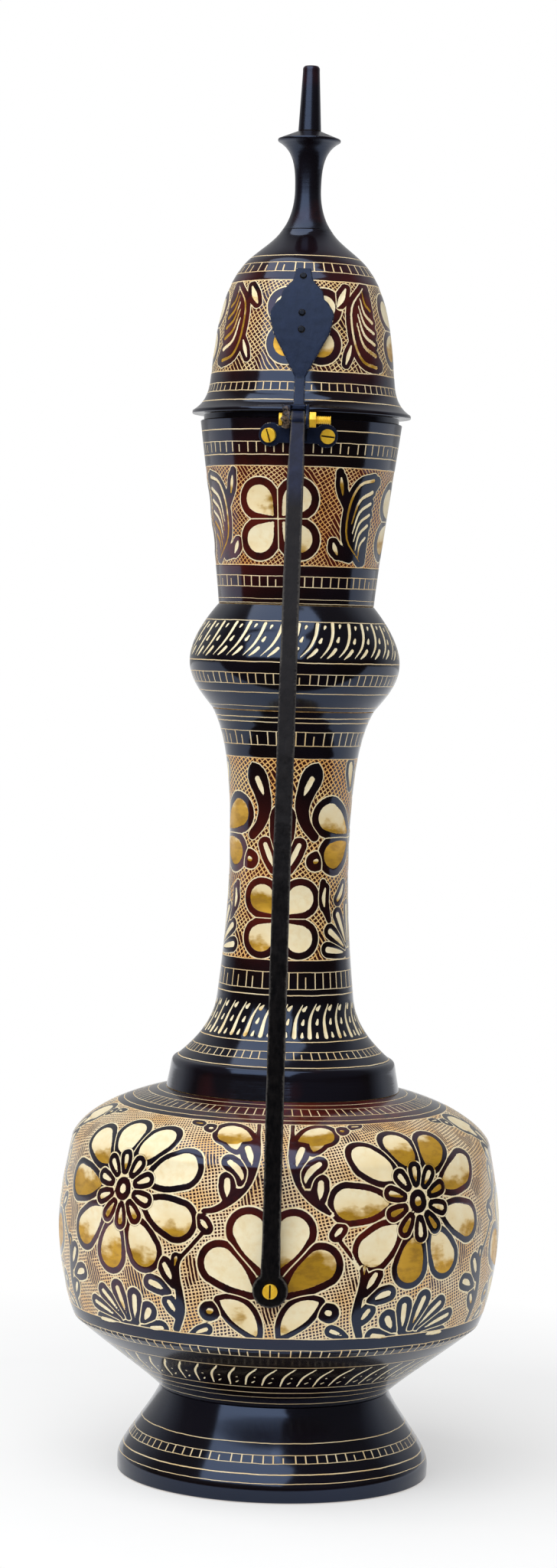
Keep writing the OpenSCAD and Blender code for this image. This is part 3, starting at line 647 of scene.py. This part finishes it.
def carve(wall, motifs, seed):
    luck = np.random.default_rng(seed)
    for motif in motifs:
        golds = np.broadcast_to(motif.get("deeper", 0.0), len(motif["at"]))
        for angle, deeper in zip(motif["at"], golds):
            for side in ((1, -1) if motif.get("mirror") else (1,)):
                lean = math.radians(luck.normal(0, motif.get("lean", cutting.lean)))
                scale = 1 + luck.normal(0, cutting.scale)
                offX, offY = luck.normal(0, motif.get("shift", cutting.shift), 2)
                c, s = math.cos(lean), math.sin(lean)
                for stroke in motif["strokes"]:
                    line = smoothStroke(stroke[2])
                    x, y = line[:, 0] * side * scale, line[:, 1] * scale
                    line = np.stack([x * c - y * s + offX, x * s + y * c + offY, line[:, 2]], 1)
                    press(wall, motif["v"], angle, stroke, line, deeper + sum(stroke[3:]), luck)
    top, fine = wall.cut.max(0), wall.fine.max(0)
    scoop = np.clip(np.where(fine > plainAt, fine, top), 0, None)
    wall.depth -= cutting.deep * (1 - np.exp(-cutting.steep * scoop))
    if "floral" in wall.spec:
        low, high = wall.spec["floral"]
        ground = (top < plainAt) & (fine < plainAt) & ((wall.v > low) & (wall.v < high))[:, None]
        wall.depth -= np.where(ground, cutting.ground, 0)


def blush(wall, spots):  # where the lacquer shows red, as (angle, v, mm wide)
    for angle, v, wide in spots:
        x = wall.turnFrom(angle)[None, :] * wall.r[:, None]
        y = (wall.v - v)[:, None]
        wall.warm = np.maximum(wall.warm, np.exp(-(x * x + y * y) / (wide * wide)))


def tidyRing(count):  # angles spread evenly round the wall
    return [360 * k / count for k in range(count)]


def fourPetals(band, *points):  # one petal, mirrored into each quarter
    return [("cut", band, [(x * across, y * up, wide) for x, y, wide in points])
            for across in (1, -1) for up in (1, -1)]


def turnedPiece(name, spec, motifs=()):
    wall = Wall(spec)
    if motifs:
        carve(wall, motifs, spec["seed"])
    blush(wall, spec.get("blush", ()))
    outside = spec["finish"] if "finish" in spec else engraved(spec["material"], spec)
    wall.build(name, outside)


# belly: the barrel with its four daisies
belly = dict(
    node="belly_barrel", body="flask", material="engravedBelly", seed=7,
    blush=[(-3, 42, 22), (4, 99, 30), (25, 46, 14), (-46, 34, 20), (45, 100, 18), (60, 60, 12),
        (150, 60, 30), (-120, 70, 30)],
    low=(77, 59), high=(44.2, 145.8), columns=608, step=0.83,
    rings=[(106.9, 0.17), (93.6, 0.175), (90.8, 0.2), (6, 0.2)],
    ladders=[(97.2, 103.2, 100), (-2, 1.2, 129, False)],  # the lower one runs on over the seam
    floral=(6, 90.8), line=0.11, hatch=dict(
        # wider, paler and pinker cuts than on the cup: partly the hatch's own colour, partly a painted
        # sheen
        turns=384, rise=0.16, turnsBack=85, riseBack=0.79, width=0.178,
        colours=((0.97, 0.76, 0.47, 1), (0.86, 0.52, 0.2, 1)), warm=0.35),
)
daisyAt, fanAt = [39.8, 137, -137, -42.6], [0, 90, 180, -90]
bellyMotifs = [
    # the daisy right of the front has deeper gold than the one on the left: painted shade on the side
    # away from the key light
    dict(at=daisyAt, v=56.2, deeper=[0.35, 0.1, 0.1, 0], strokes=(
        petals(9, 14, 5.8, 2.6, (34.4, 27.4, 29.8), 180)
        + petals(10, 7.2, 1.05, 2.2, (13.2, 12.5, 13.2), 92, layer="fine", neck=0.5)
        + [("fine", 2.9, [(0, 0.3, 1.3), (0, -0.4, 1.5)])])),
    # fan behind the handle's foot
    dict(at=fanAt, v=24.9, mirror=True, shift=0.15, lean=0.5, strokes=[
        ("cut", 3, [(2.8, 8.4, 1), (6, 15.8, 4.4), (8, 21.2, 5.9)], -0.35),
        ("cut", 3, [(6.8, -0.2, 0.9), (12.8, 4.8, 4.3), (18.4, 9, 5.9)], 0.35),
        ("cut", 2.3, [(18.6, -4.6, -0.1), (14.4, -6.6, 2.7), (10.6, -9.4, 4), (7, -13.8, 2.6),
            (4.4, -18.2, 0)], -0.3),
        ("cut", 3.1, [(21.5, -8.8, 1), (22.1, -9, 1.15)]),
        ("one", 2, [(28.6, -18.8, -0.4), (25.8, -17.3, 0.6), (23.2, -16.2, 0.8)])]),
    # bud on a curled leaf
    dict(at=fanAt, v=72, mirror=True, shift=0.25, lean=0.8, strokes=[
        ("one", 2.3, [(15.6, 9.4, 3.6), (14.8, 6, 2.2), (13.8, 2.6, -0.3)]),
        ("one", 2.3, [(18.8, 9.8, 2.8), (16, 11.2, 4.9), (12.2, 10.2, 3), (7.8, 8, -0.2)], 0.25),
        ("cut", 2.3, [(24, 13.9, 0.55), (24.8, 13.7, 0.65)]),
        ("one", 1.6, [(28.4, 16.1, 0.5), (31, 16.4, 0.2)]),
        ("one", 2.6, [(9.8, 4.2, 1.2), (8.6, 0.2, 1.1), (8, -4.2, -0.3)], -0.4),
        ("cut", 2.5, [(16.2, -2.2, 1), (13.2, -4.6, 1.15), (11.4, -7.6, 0.7), (11.2, -10.8, -0.4)], -0.4),
        ("one", 2.4, [(16.9, -9, 1.05), (16.8, -12.2, 1.1), (16.6, -16.2, -0.3)], -0.4),
        ("dark", 1, [(6.2, 18, 1), (6.2, 12, 1), (6.6, 5, 1.8), (6.9, -0.6, 2),
            (9.4, -9, 2), (14.4, -15.2, 1.8), (20.8, -19.6, 1.4), (25.6, -20.6, 1.1)])]),
    dict(at=fanAt, v=40, mirror=True, lean=0.6, strokes=[  # sprig below it
        ("one", 2.2, [(26.6, 8.6, -0.3), (25, 7, 0.85), (23.4, 5.2, 0.5)], -0.4),
        ("one", 1.6, [(35, -6.4, 0.6), (35.3, -9.4, 0.3)], 0.5),
        ("one", 2.5, [(39.7, -9.4, 0.9), (37.8, -12.4, 1), (35.6, -16, -0.3)], -0.4),
        ("cut", 2.5, [(45.4, -16.6, 1), (42.3, -17.5, 1.05), (38.2, -19.5, -0.3)], -0.4),
        ("one", 2.4, [(37.5, -22.9, 0.75), (35.8, -25, 0.8), (33.8, -27.6, -0.3)], -0.3),
        ("dark", 1, [(24.4, 4, 1), (30, -2.6, 1), (34, -7.6, 1.1), (34.4, -13.4, 1.5),
            (33, -20.4, 1.8), (32.4, -26.2, 1.9), (34, -33, 1.7)])]),
]
palmette = [
    ("cut", 2.5, [(8, -0.5, -0.2), (12, -0.3, 0.75), (16, 0.2, 0.85)]),
    ("cut", 2.75, [(8.2, 2.2, 0), (10, 4.6, 1.1), (11.2, 6.6, 1.2)]),
    ("cut", 2.75, [(3.6, 2, -0.1), (4.4, 6.5, 1), (4.9, 11.2, 1.05)]),
    ("cut", 2.75, [(0, 2.4, -0.1), (-2, 8.4, 0.9), (-3.8, 13.4, 1)]),
    ("cut", 2.5, [(-2.6, 2.2, -0.1), (-8, 7.4, 0.75), (-12.6, 11, 0.85)]),
    ("cut", 2.4, [(-4.6, 1, -0.1), (-12, 3.8, 0.7), (-18.6, 5.8, 0.75)]),
    ("cut", 2.2, [(-6, -0.6, 0), (-11, -0.8, 0.7), (-16.6, -0.8, 0.65)]),
    ("dark", 1, [(-2, 0.2, 1.8), (3, 0, 1.8)])]
bellyMotifs += [
    dict(at=[-41, 139], v=6.6, lean=0.8, deeper=-0.3, strokes=palmette),
    dict(at=[39.6, -140.4], v=7, lean=0.8, deeper=-0.3, strokes=resized(palmette, -1, 1)),
]
turnedPiece("bellyBarrel", belly, bellyMotifs)

bowl = dict(
    node="belly_bowl", body="flask", material="engravedBowl", seed=8,
    low=(43.3, 32), high=(77, 59), columns=640, step=0.6,
    rings=[(32, 0.175), (15.7, 0.175), (11.4, 0.2), (7.7, 0.12), (3.1, 0.16)],
    ladders=[(40.2, 46, 129)],
)
ropeStrokes = [("cut", 1, [(2.6, 6.8, 0.28), (-1.2, 0.4, 0.46), (-2.4, -7, 0.26)]),
               ("cut", 1, [(1, 4.2, 0.4), (2, 5.2, 0.2)]), ("cut", 1, [(1.4, -0.6, 0.45)] * 2),
               ("cut", 1, [(0.2, -5, 0.35), (1.4, -3.6, 0.2)])]
turnedPiece("bellyBowl", bowl, [
    dict(at=tidyRing(57), v=23.9, shift=0.2, deeper=-0.6, strokes=ropeStrokes)])

footRing = dict(
    node="foot", body="flask", material="engravedFoot",
    low=(59, 0), high=(43.3, 32), columns=360, step=0.8,
    rings=[(22.8, 0.16), (10.6, 0.2), (7.2, 0.12)], ladders=[(14.8, 18.1, 84)],
)
turnedPiece("footRing", footRing)

collar = dict(
    node="collar_ring", body="flask", finish=turnedLacquer,
    low=(44.2, 145.8), high=(35.4, 157.5), columns=240, step=0.8,
)
turnedPiece("collarRing", collar)

neck = dict(
    node="neck_tube", body="flask", material="engravedNeck", seed=11,
    blush=[(-34, 78, 20), (-20, 62, 14), (130, 70, 24)],
    low=(40.6, 157.5), high=(30.8, 289.5), columns=380, step=0.6,
    rings=[(135.3, 0.18), (133.4, 0.18), (119.4, 0.175), (44, 0.175), (30.9, 0.19), (12.8, 0.175),
        (0.7, 0.18)],
    ladders=[(124.4, 129.7, 46), (33.2, 39.5, 46), (4.7, 8.3, 70)],
    floral=(44, 119.4), line=0.08, hatch=dict(
        turns=78, rise=0.37, turnsBack=58, riseBack=0.52, width=0.13,
        colours=((0.97, 0.66, 0.27, 1), (0.86, 0.43, 0.11, 1)), warm=0.4),
)
fourPetal = fourPetals(2.8, (2.4, 2.4, 0.9), (6, 6.2, 4.2), (7.2, 7.3, 5.1))
sidePetals = [("cut", 3, [(2.8, 2.4, 0.9), (9.6, 6.2, 4.2), (14, 8.4, 5.2)]),
    ("cut", 3, [(2.8, -2.4, 0.9), (8, -5, 4), (11.2, -6.4, 5)])]
bigFour = sidePetals + resized(sidePetals, -1, 1)
sideAt = [76, -91]
neckMotifs = [
    dict(at=[-6, 174], v=59.6, lean=0.8, deeper=0.2, strokes=fourPetal),
    dict(at=[-6, 174], v=77, lean=0.6, strokes=[("cut", 2.4, [(0, 4, 0.8), (0, 14, 2.4), (0, 21, 2.8)])]),
    # leaves, tall and short, and an eye
    dict(at=[-6, 174], v=77, mirror=True, lean=0.8, strokes=[
        ("one", 2.3, [(6.7, 10, 0.85), (4.7, 5.6, 0.95), (3, 1, -0.2)], -0.3),
        ("one", 2.4, [(11.2, 34.4, 1), (9.4, 31, 0.95), (7.6, 27, -0.3)], -0.3),
        ("dark", 1, [(13.4, 39.6, 1), (11.6, 35.4, 4.3), (9.2, 30, 3.7), (7.6, 23.8, 2.9), (9, 17.7, 2.3),
            (12.4, 13.3, 2.1)]),
        ("cut", 3.1, [(12.9, 4, 0.8), (13.5, 4.2, 0.9)])]),
    dict(at=sideAt, v=89.6, lean=0.8, deeper=0.4, strokes=bigFour),
    dict(at=sideAt, v=89.6, mirror=True, strokes=[
        ("one", 2.2, [(3, 18.6, 0.6), (4.4, 23.4, 1.8), (5.4, 26, 1.4)]),
        ("one", 2, [(13.6, -19.4, 0.35), (14.2, -23, 0.8), (13.8, -26, 0.35)]),
        ("dark", 1, [(14.6, -17.4, 1.6), (14, -24, 2.4), (11.6, -31, 1.4)]),
        ("one", 2, [(3, -18, 0.5), (4.6, -21, 1), (6.8, -23.6, 0.7)])]),
    dict(at=sideAt, v=46, lean=0.8, strokes=(
        petals(7, 5, 1.15, 2.1, (15.5, 19, 15), 8, 164, neck=0.45)
        + [("dark", 1, [(-1.4, 0, 2.2), (1.4, 0, 2.2)])])),
    dict(at=tidyRing(30), v=21.1, shift=0.15, deeper=-0.6, strokes=[
        ("cut", 1, [(2, 6.6, 0.18), (-0.6, 1, 0.5), (-1.6, -6.2, 0.85)]),
        ("cut", 1, [(3.6, 6, 0.25), (2.4, 4.6, 0.75)]), ("cut", 1, [(2.4, 0.9, 0.3), (1.9, -0.8, 0.65)]),
        ("cut", 1, [(1.6, -4.2, 0.25), (1.4, -6, 0.65)])]),
]
turnedPiece("neckTube", neck, neckMotifs)

knop = dict(
    node="knop", body="flask", material="engravedKnop", seed=13,
    low=(30.8, 289.5), high=(29.4, 329), columns=480, step=0.5,
    rings=[(37.1, 0.16), (20.7, 0.175), (8.4, 0.17), (1.9, 0.12)], ladders=[(12.1, 16.4, 73)],
)
swept = [("cut", 1, [(2.6, 6.6, 0.65), (1.6, 1.6, 0.55), (-0.6, -3, 0.42), (-4.4, -7, 0.12)]),
         ("cut", 1, [(5.4, 5.6, 0.55), (5, 4.4, 0.25)]), ("cut", 1, [(4, 0.8, 0.3), (3.2, -0.8, 0.65)]),
         ("cut", 1, [(1.9, -3.8, 0.6), (0.4, -5.4, 0.55), (-1.9, -7.2, 0.15)])]
turnedPiece("knopBall", knop, [
    dict(at=tidyRing(34), v=29.6, shift=0.15, deeper=-0.6, strokes=swept)])

cup = dict(
    node="mouth_cup", body="flask", material="engravedCup", seed=17,
    blush=[(-25, 33, 19), (-55, 26, 18), (140, 36, 20)],
    low=(29.4, 329), high=(38, 397.5), columns=540, step=0.5,
    rings=[(65, 0.18), (55.7, 0.175), (51.5, 0.175), (14.7, 0.175), (2.2, 0.09), (0.6, 0.1)],
    ladders=[(56.6, 60.5, 64, False), (6.7, 10.7, 55)], floral=(14.7, 51.5),
    line=0.075, hatch=dict(
        turns=122, rise=0.42, turnsBack=90, riseBack=0.6, width=0.1,
        colours=((0.95, 0.65, 0.29, 1), (0.82, 0.4, 0.1, 1)), warm=0.85),
)
cupFour = fourPetals(3.1, (2.1, 1.6, 0.6), (6.2, 6.2, 4.4), (7.4, 7.4, 5.2))
feather = [
    ("one", 2.2, [(6.2, 14.6, 0.62), (-0.8, 12.4, 0.5), (-4.4, 4.4, 0.44), (-3.8, -7.6, 0.36),
        (3.6, -15.6, 0.2)], 0.2),
    ("one", 1.6, [(6.2, 10.2, 0.7), (0, 6.6, 0.5), (-2.5, -2, 0.2)], 0.2),
    ("one", 1.6, [(6, 6, 0.6), (0.6, 2.4, 0.48), (-1.6, -5.6, 0.2)], 0.3),
    ("one", 1.6, [(6, 1.8, 0.55), (1.2, -1.6, 0.44), (-0.6, -8.6, 0.18)], 0.3),
    ("one", 1.6, [(5.6, -2.2, 0.6), (1.8, -5.6, 0.46), (0.8, -11.6, 0.18)], 0.4),
    ("one", 1.6, [(5.2, -6.8, 0.5), (2.8, -9.6, 0.4), (2.6, -14, 0.16)], 0.4),
    ("dark", 1, [(8.4, 14, 2.6), (2, 10.4, 5.6), (0.8, 1.6, 6.6), (2, -8, 5.2), (5.2, -15.6, 2)]),
]
bud = [("one", 2, [(-9.6, 14.6, 0.3), (-9, 12, 0.7), (-8, 8.4, 0.25)]),
       ("dark", 1, [(-10.4, 16.6, 1.8), (-8.6, 10.4, 2.6), (-5, 3.6, 2)]),
       ("one", 1.9, [(-9.2, -9.4, 0.3), (-8.4, -11.2, 0.85), (-7, -13.6, 0.3)]),
       ("dark", 1, [(-9.8, -9, 1.8), (-7.8, -12, 3), (-1.6, -14.6, 2)])]
cupMotifs = [
    dict(at=[-11.5, 90, 180, -101], v=32.3, lean=1, strokes=cupFour),
    dict(at=[43.3, 138, -139], v=33, lean=1.2, strokes=feather + bud),
    dict(at=[-60], v=33, strokes=resized(feather + bud, -1, 1)),
]
turnedPiece("mouthCup", cup, cupMotifs)

lid = dict(
    node="lid_dome", body="lid", material="engravedLid", seed=19,
    blush=[(50, 44, 18), (-52, 44, 16), (160, 40, 18)],
    low=(36.8, 397.6), high=(9.3, 469.8), columns=500, step=0.52,
    rings=[(70.6, 0.18), (58.5, 0.2), (24, 0.175), (12.5, 0.18)],
    ladders=[(62.4, 66.8, 43), (16.5, 19.7, 72)], floral=(24, 58.5),
    line=0.075, hatch=dict(
        turns=114, rise=0.4, turnsBack=84, riseBack=0.57, width=0.11,
        colours=((0.95, 0.74, 0.4, 1), (0.84, 0.54, 0.2, 1)), warm=0.4),
)
lidBud = [("one", 1.9, [(-9.8, 7.6, 0.3), (-7.4, 10.8, 1.1), (-4.8, 14.6, 0.3)], -0.3),
          ("dark", 1, [(-10.2, 6.8, 1.2), (-7.2, 11.2, 2.5), (-3.8, 15.2, 1.4)]),
          ("one", 1.7, [(-8.6, -13.4, 0.25), (-7.2, -10, 0.8), (-5.8, -6.6, 0.25)], -0.3),
          ("dark", 1, [(-9, -13.8, 1.2), (-6.6, -9.4, 2), (-4.6, -5, 1.6)])]
flip = resized(feather, 1, -0.98) + lidBud
lidMotifs = [
    dict(at=[1.5, 88, 177, -92], v=41, lean=1, strokes=resized(cupFour, 0.88, 0.92, 0.92)),
    dict(at=[43, 132, -138], v=41.6, lean=1.2, strokes=flip),
    dict(at=[-50], v=41.6, strokes=resized(flip, -1, 1)),
]
turnedPiece("lidDome", lid, lidMotifs)

finial = dict(body="lid", finish=finialLacquer, step=0.5)
turnedPiece("finialStem", dict(
    finial, node="finial_stem", low=(9.3, 469.8), high=(4.3, 506.9), columns=120))
turnedPiece("finialSpike", dict(
    finial, node="finial_spike", low=(4.3, 506.9), high=(0, 531.3), columns=96))
print("turned walls done")


# hammered and filed pieces: the node's own shape, its edges eased and its faces left a little uneven
def evenMesh(name, node, voxel, ease):
    source = bmesh.new()
    source.from_mesh(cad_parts[node].data)
    bmesh.ops.remove_doubles(source, verts=source.verts, dist=2e-6)
    bmesh.ops.recalc_face_normals(source, faces=source.faces)
    mesh = bpy.data.meshes.new(name)
    source.to_mesh(mesh)
    source.free()
    piece = placed(name, mesh)
    remesh = piece.modifiers.new("even", "REMESH")
    remesh.mode, remesh.voxel_size, remesh.use_smooth_shade = "VOXEL", voxel * mm, True
    soft = piece.modifiers.new("ease", "SMOOTH")
    soft.factor, soft.iterations = 0.5, ease
    ready = piece.evaluated_get(bpy.context.evaluated_depsgraph_get())
    made = bpy.data.meshes.new_from_object(ready)
    piece.modifiers.clear()
    piece.data = made
    bpy.data.meshes.remove(mesh)
    made.name = name
    return piece


def edgeBend(co, normal, edges, voxel):  # above 0 on edges, below 0 in hollows
    a, b = edges.T
    near, sums = np.zeros(len(co)), np.zeros((len(co), 3))
    for i, j in ((a, b), (b, a)):
        np.add.at(sums, i, co[j] - co[i])
        np.add.at(near, i, 1)
    bend = -(sums * normal).sum(1) / np.maximum(near, 1) / (voxel * mm)
    for _ in range(2):
        total = bend.copy()
        np.add.at(total, a, bend[b])
        np.add.at(total, b, bend[a])
        bend = total / (near + 1)
    return bend


def waves(at, luck, count, low, high):  # a mix of waves through space, each with its own way and length
    wave = np.zeros(len(at))
    for _ in range(count):
        way = luck.normal(0, 1, 3)
        way /= np.linalg.norm(way)
        wave += np.sin(at @ way * luck.uniform(low, high) + luck.uniform(0, 6.3)) / count
    return wave


bendGain, bendMost = 14, 1.5  # from a bend to how worn an edge is


def easedPiece(name, spec):
    piece = evenMesh(name, spec["node"], spec["voxel"], spec["ease"])
    made = piece.data
    co, normal = readMesh(made.vertices, "co", 3), readMesh(made.vertices, "normal", 3)
    bend = edgeBend(co, normal, readMesh(made.edges, "vertices", 2, np.int32), spec["voxel"])
    luck = np.random.default_rng(spec["seed"])
    at = co.astype(float) * perMetre
    move = waves(at, luck, 7, 0.25, 1.3) * spec["uneven"]
    if "thread" in spec:  # cut round the x axis of the piece, outside the nut
        thread = spec["thread"]
        middle = (at.min(0) + at.max(0)) / 2
        turn = np.arctan2(at[:, 2] - middle[2], at[:, 1] - middle[1]) / (2 * math.pi)
        ridge = np.abs(((at[:, 0] / thread["pitch"] - turn) % 1) * 2 - 1)
        along = (at[:, 0] > thread["start"]) & (at[:, 0] < at[:, 0].max() - thread["tip"])
        move = move - np.where(along & (np.abs(normal[:, 0]) < 0.6), ridge * thread["deep"], 0)
    if "battered" in spec:  # beaten out of shape round one place, but not where it runs on the handle
        battered = spec["battered"]
        off = at - np.array(battered["place"])
        bare = np.exp(-((off / battered["reach"]) ** 2).sum(1)) * (normal[:, 0] < 0.5)
        move = move + bare * waves(off, luck, 5, 1.4, 2.6) * battered["deep"]
        store(made, "bare", bare)
    moved = co + normal * (move * mm)[:, None]
    made.vertices.foreach_set("co", moved.astype(np.float32).ravel())
    store(made, "worn", np.clip(bend * bendGain, 0, bendMost))
    store(made, "hollow", np.clip(bend * -bendGain, 0, bendMost))
    made.materials.clear()
    made.materials.append(spec["finish"])
    made.update()
    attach(piece, spec["body"])
    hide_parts(spec["node"])
    print(name, "has", len(made.polygons), "faces")


# voxel and uneven are in mm; ease is how often the edges are softened
painted = dict(slot="painted_brass", finish=lugPaint, voxel=0.26, ease=3)
machined = dict(slot="bare_brass", finish=screwBrass, voxel=0.11, ease=2, uneven=0.015)
easedPiece("handleBar", dict(
    painted, node="handle", body="flask", finish=handlePaint, voxel=0.34, uneven=0.12, seed=21))
boltLow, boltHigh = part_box("hinge_bolt")
boltMiddle = [(low + high) / 2 / mm for low, high in zip(boltLow, boltHigh)]
leftLug = dict(place=(boltLow[0] / mm + 2.4, *boltMiddle[1:]), reach=(2.4, 7.0, 5.5), deep=1.3)
easedPiece("hingeLeaf", dict(
    painted, node="hinge_leaf", body="lid", uneven=0.07, seed=22, battered=leftLug))
easedPiece("handleBracket", dict(
    painted, node="handle_bracket", body="flask", uneven=0.08, seed=23))
easedPiece("leafRivets", dict(
    painted, node="leaf_rivets", body="lid", finish=rivetPaint, voxel=0.12, uneven=0.03, seed=24))
easedPiece("bracketScrews", dict(machined, node="bracket_screws", body="flask", seed=25))
easedPiece("handleScrew", dict(machined, node="handle_screw", body="flask", seed=26))
easedPiece("hingeNut", dict(machined, node="hinge_nut", body="lid", seed=27))
boltThread = dict(start=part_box("hinge_nut")[1][0] / mm, tip=0.3, pitch=0.75, deep=0.26)
easedPiece("hingeBolt", dict(
    machined, node="hinge_bolt", body="lid", seed=28, voxel=0.1, uneven=0.01, thread=boltThread))
for node in ("lid_ring", "finial_nut", "bracket_nuts", "handle_boss"):
    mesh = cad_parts[node].data
    mesh.materials.clear()
    mesh.materials.append(spunBrass)
print("fittings done")


# camera as the photograph has it: just above the middle, a little off level
shot = SimpleNamespace(
    away=1.45, height=0.3245, aside=-0.0048, down=2.5, roll=1.62, round=1.8, lens=88.0, sensor=36)


def turned(degrees, axis):
    return Matrix.Rotation(math.radians(degrees), 4, axis)


eye = bpy.data.cameras.new("eye")
eye.lens, eye.sensor_width = shot.lens, shot.sensor
eyeObject = placed("eye", eye)
stand = Matrix.Translation((shot.aside, -shot.away, shot.height))
eyeObject.matrix_world = (turned(shot.round, "Z") @ stand
                          @ turned(90 - shot.down, "X") @ turned(shot.roll, "Z"))
scene.camera = eyeObject


def rayOf(start, *kinds):  # 1 for a ray of any of these kinds
    path = start.make("ShaderNodeLightPath")
    found = path.outlet(kinds[0])
    for kind in kinds[1:]:
        found = found.larger(path.outlet(kind))
    return found


# floor, lamps and the pale room; frontLow to soft are the world's strengths
room = SimpleNamespace(
    half=6.0, sheetEdge=-0.165, under=-0.0004, paper=0.45, white=(1, 1, 1, 1), key=19.2, sky=9.4,
    colour=(0.96, 0.98, 1.0), frontLow=0.02, frontHigh=0.1, around=0.48, soft=0.47)
floorMesh = bpy.data.meshes.new("floor")
half, edge, under = room.half, room.sheetEdge, room.under  # the sheet ends a little way in front
sheet = [(-half, edge, under), (half, edge, under), (half, half, under), (-half, half, under)]
floorMesh.from_pydata(sheet, [], [(0, 1, 2, 3)])
floor = placed("floor", floorMesh)
floorPaint, start, at = newMaterial("floorPaint")
far = at.make("ShaderNodeVectorMath", {"operation": "LENGTH"}, {0: at}, out="Value")
pulp = at.noise(0.03, 2).tint((0.93, 0.93, 0.93, 1), (0.96, 0.96, 0.96, 1))
matte = start.make("ShaderNodeBsdfDiffuse", {}, {"Color": pulp})
glow = start.make("ShaderNodeEmission", {}, {"Color": room.white, "Strength": 1.0})
# white for the eye and for mirrors, matte for the light
looking = rayOf(start, "Is Camera Ray", "Is Glossy Ray", "Is Transmission Ray")
fade = looking * far.over(240, 300).larger(room.paper)
floorMesh.materials.append(close(floorPaint, fade.between(matte, glow)))


def softLamp(name, place, target, wide, tall, watts):
    lamp = bpy.data.lights.new(name, "AREA")
    lamp.shape, lamp.size, lamp.size_y = "RECTANGLE", wide, tall
    lamp.energy, lamp.color = watts, room.colour
    holder = placed(name, lamp)
    holder.location = place
    holder.rotation_euler = (Vector(target) - Vector(place)).to_track_quat("-Z", "Y").to_euler()
    holder.visible_camera = False


softLamp("keyBox", (-0.5, -1.25, 1.2), (0, 0, 0.26), 2.0, 1.25, room.key)
softLamp("skyBox", (-0.3, -0.35, 1.6), (-0.15, -0.1, 0.0), 1.6, 0.8, room.sky)

world = bpy.data.worlds.new("paleRoom")
scene.world = world
start = nodesOf(world)
way = start.make("ShaderNodeTexCoord", out="Generated")
north = way.make("ShaderNodeSeparateXYZ", {}, {0: way}, out=1)
upward = north.outlet(2)
front = (0 - north).over(-0.35, 0.4)
level = upward.over(0.16, 0.12) * (room.frontHigh - room.frontLow) + room.frontLow
shine = (1 - front) * room.around + front * level
mirrored = rayOf(start, "Is Glossy Ray", "Is Transmission Ray")
strength = mirrored * (shine - room.soft) + room.soft
seen = rayOf(start, "Is Camera Ray")
strength = seen * (1 - strength) + strength
pale = start.make("ShaderNodeBackground", {}, {"Color": room.white, "Strength": strength})
pale.make("ShaderNodeOutputWorld", {}, {"Surface": pale})
print("camera, floor and light set")
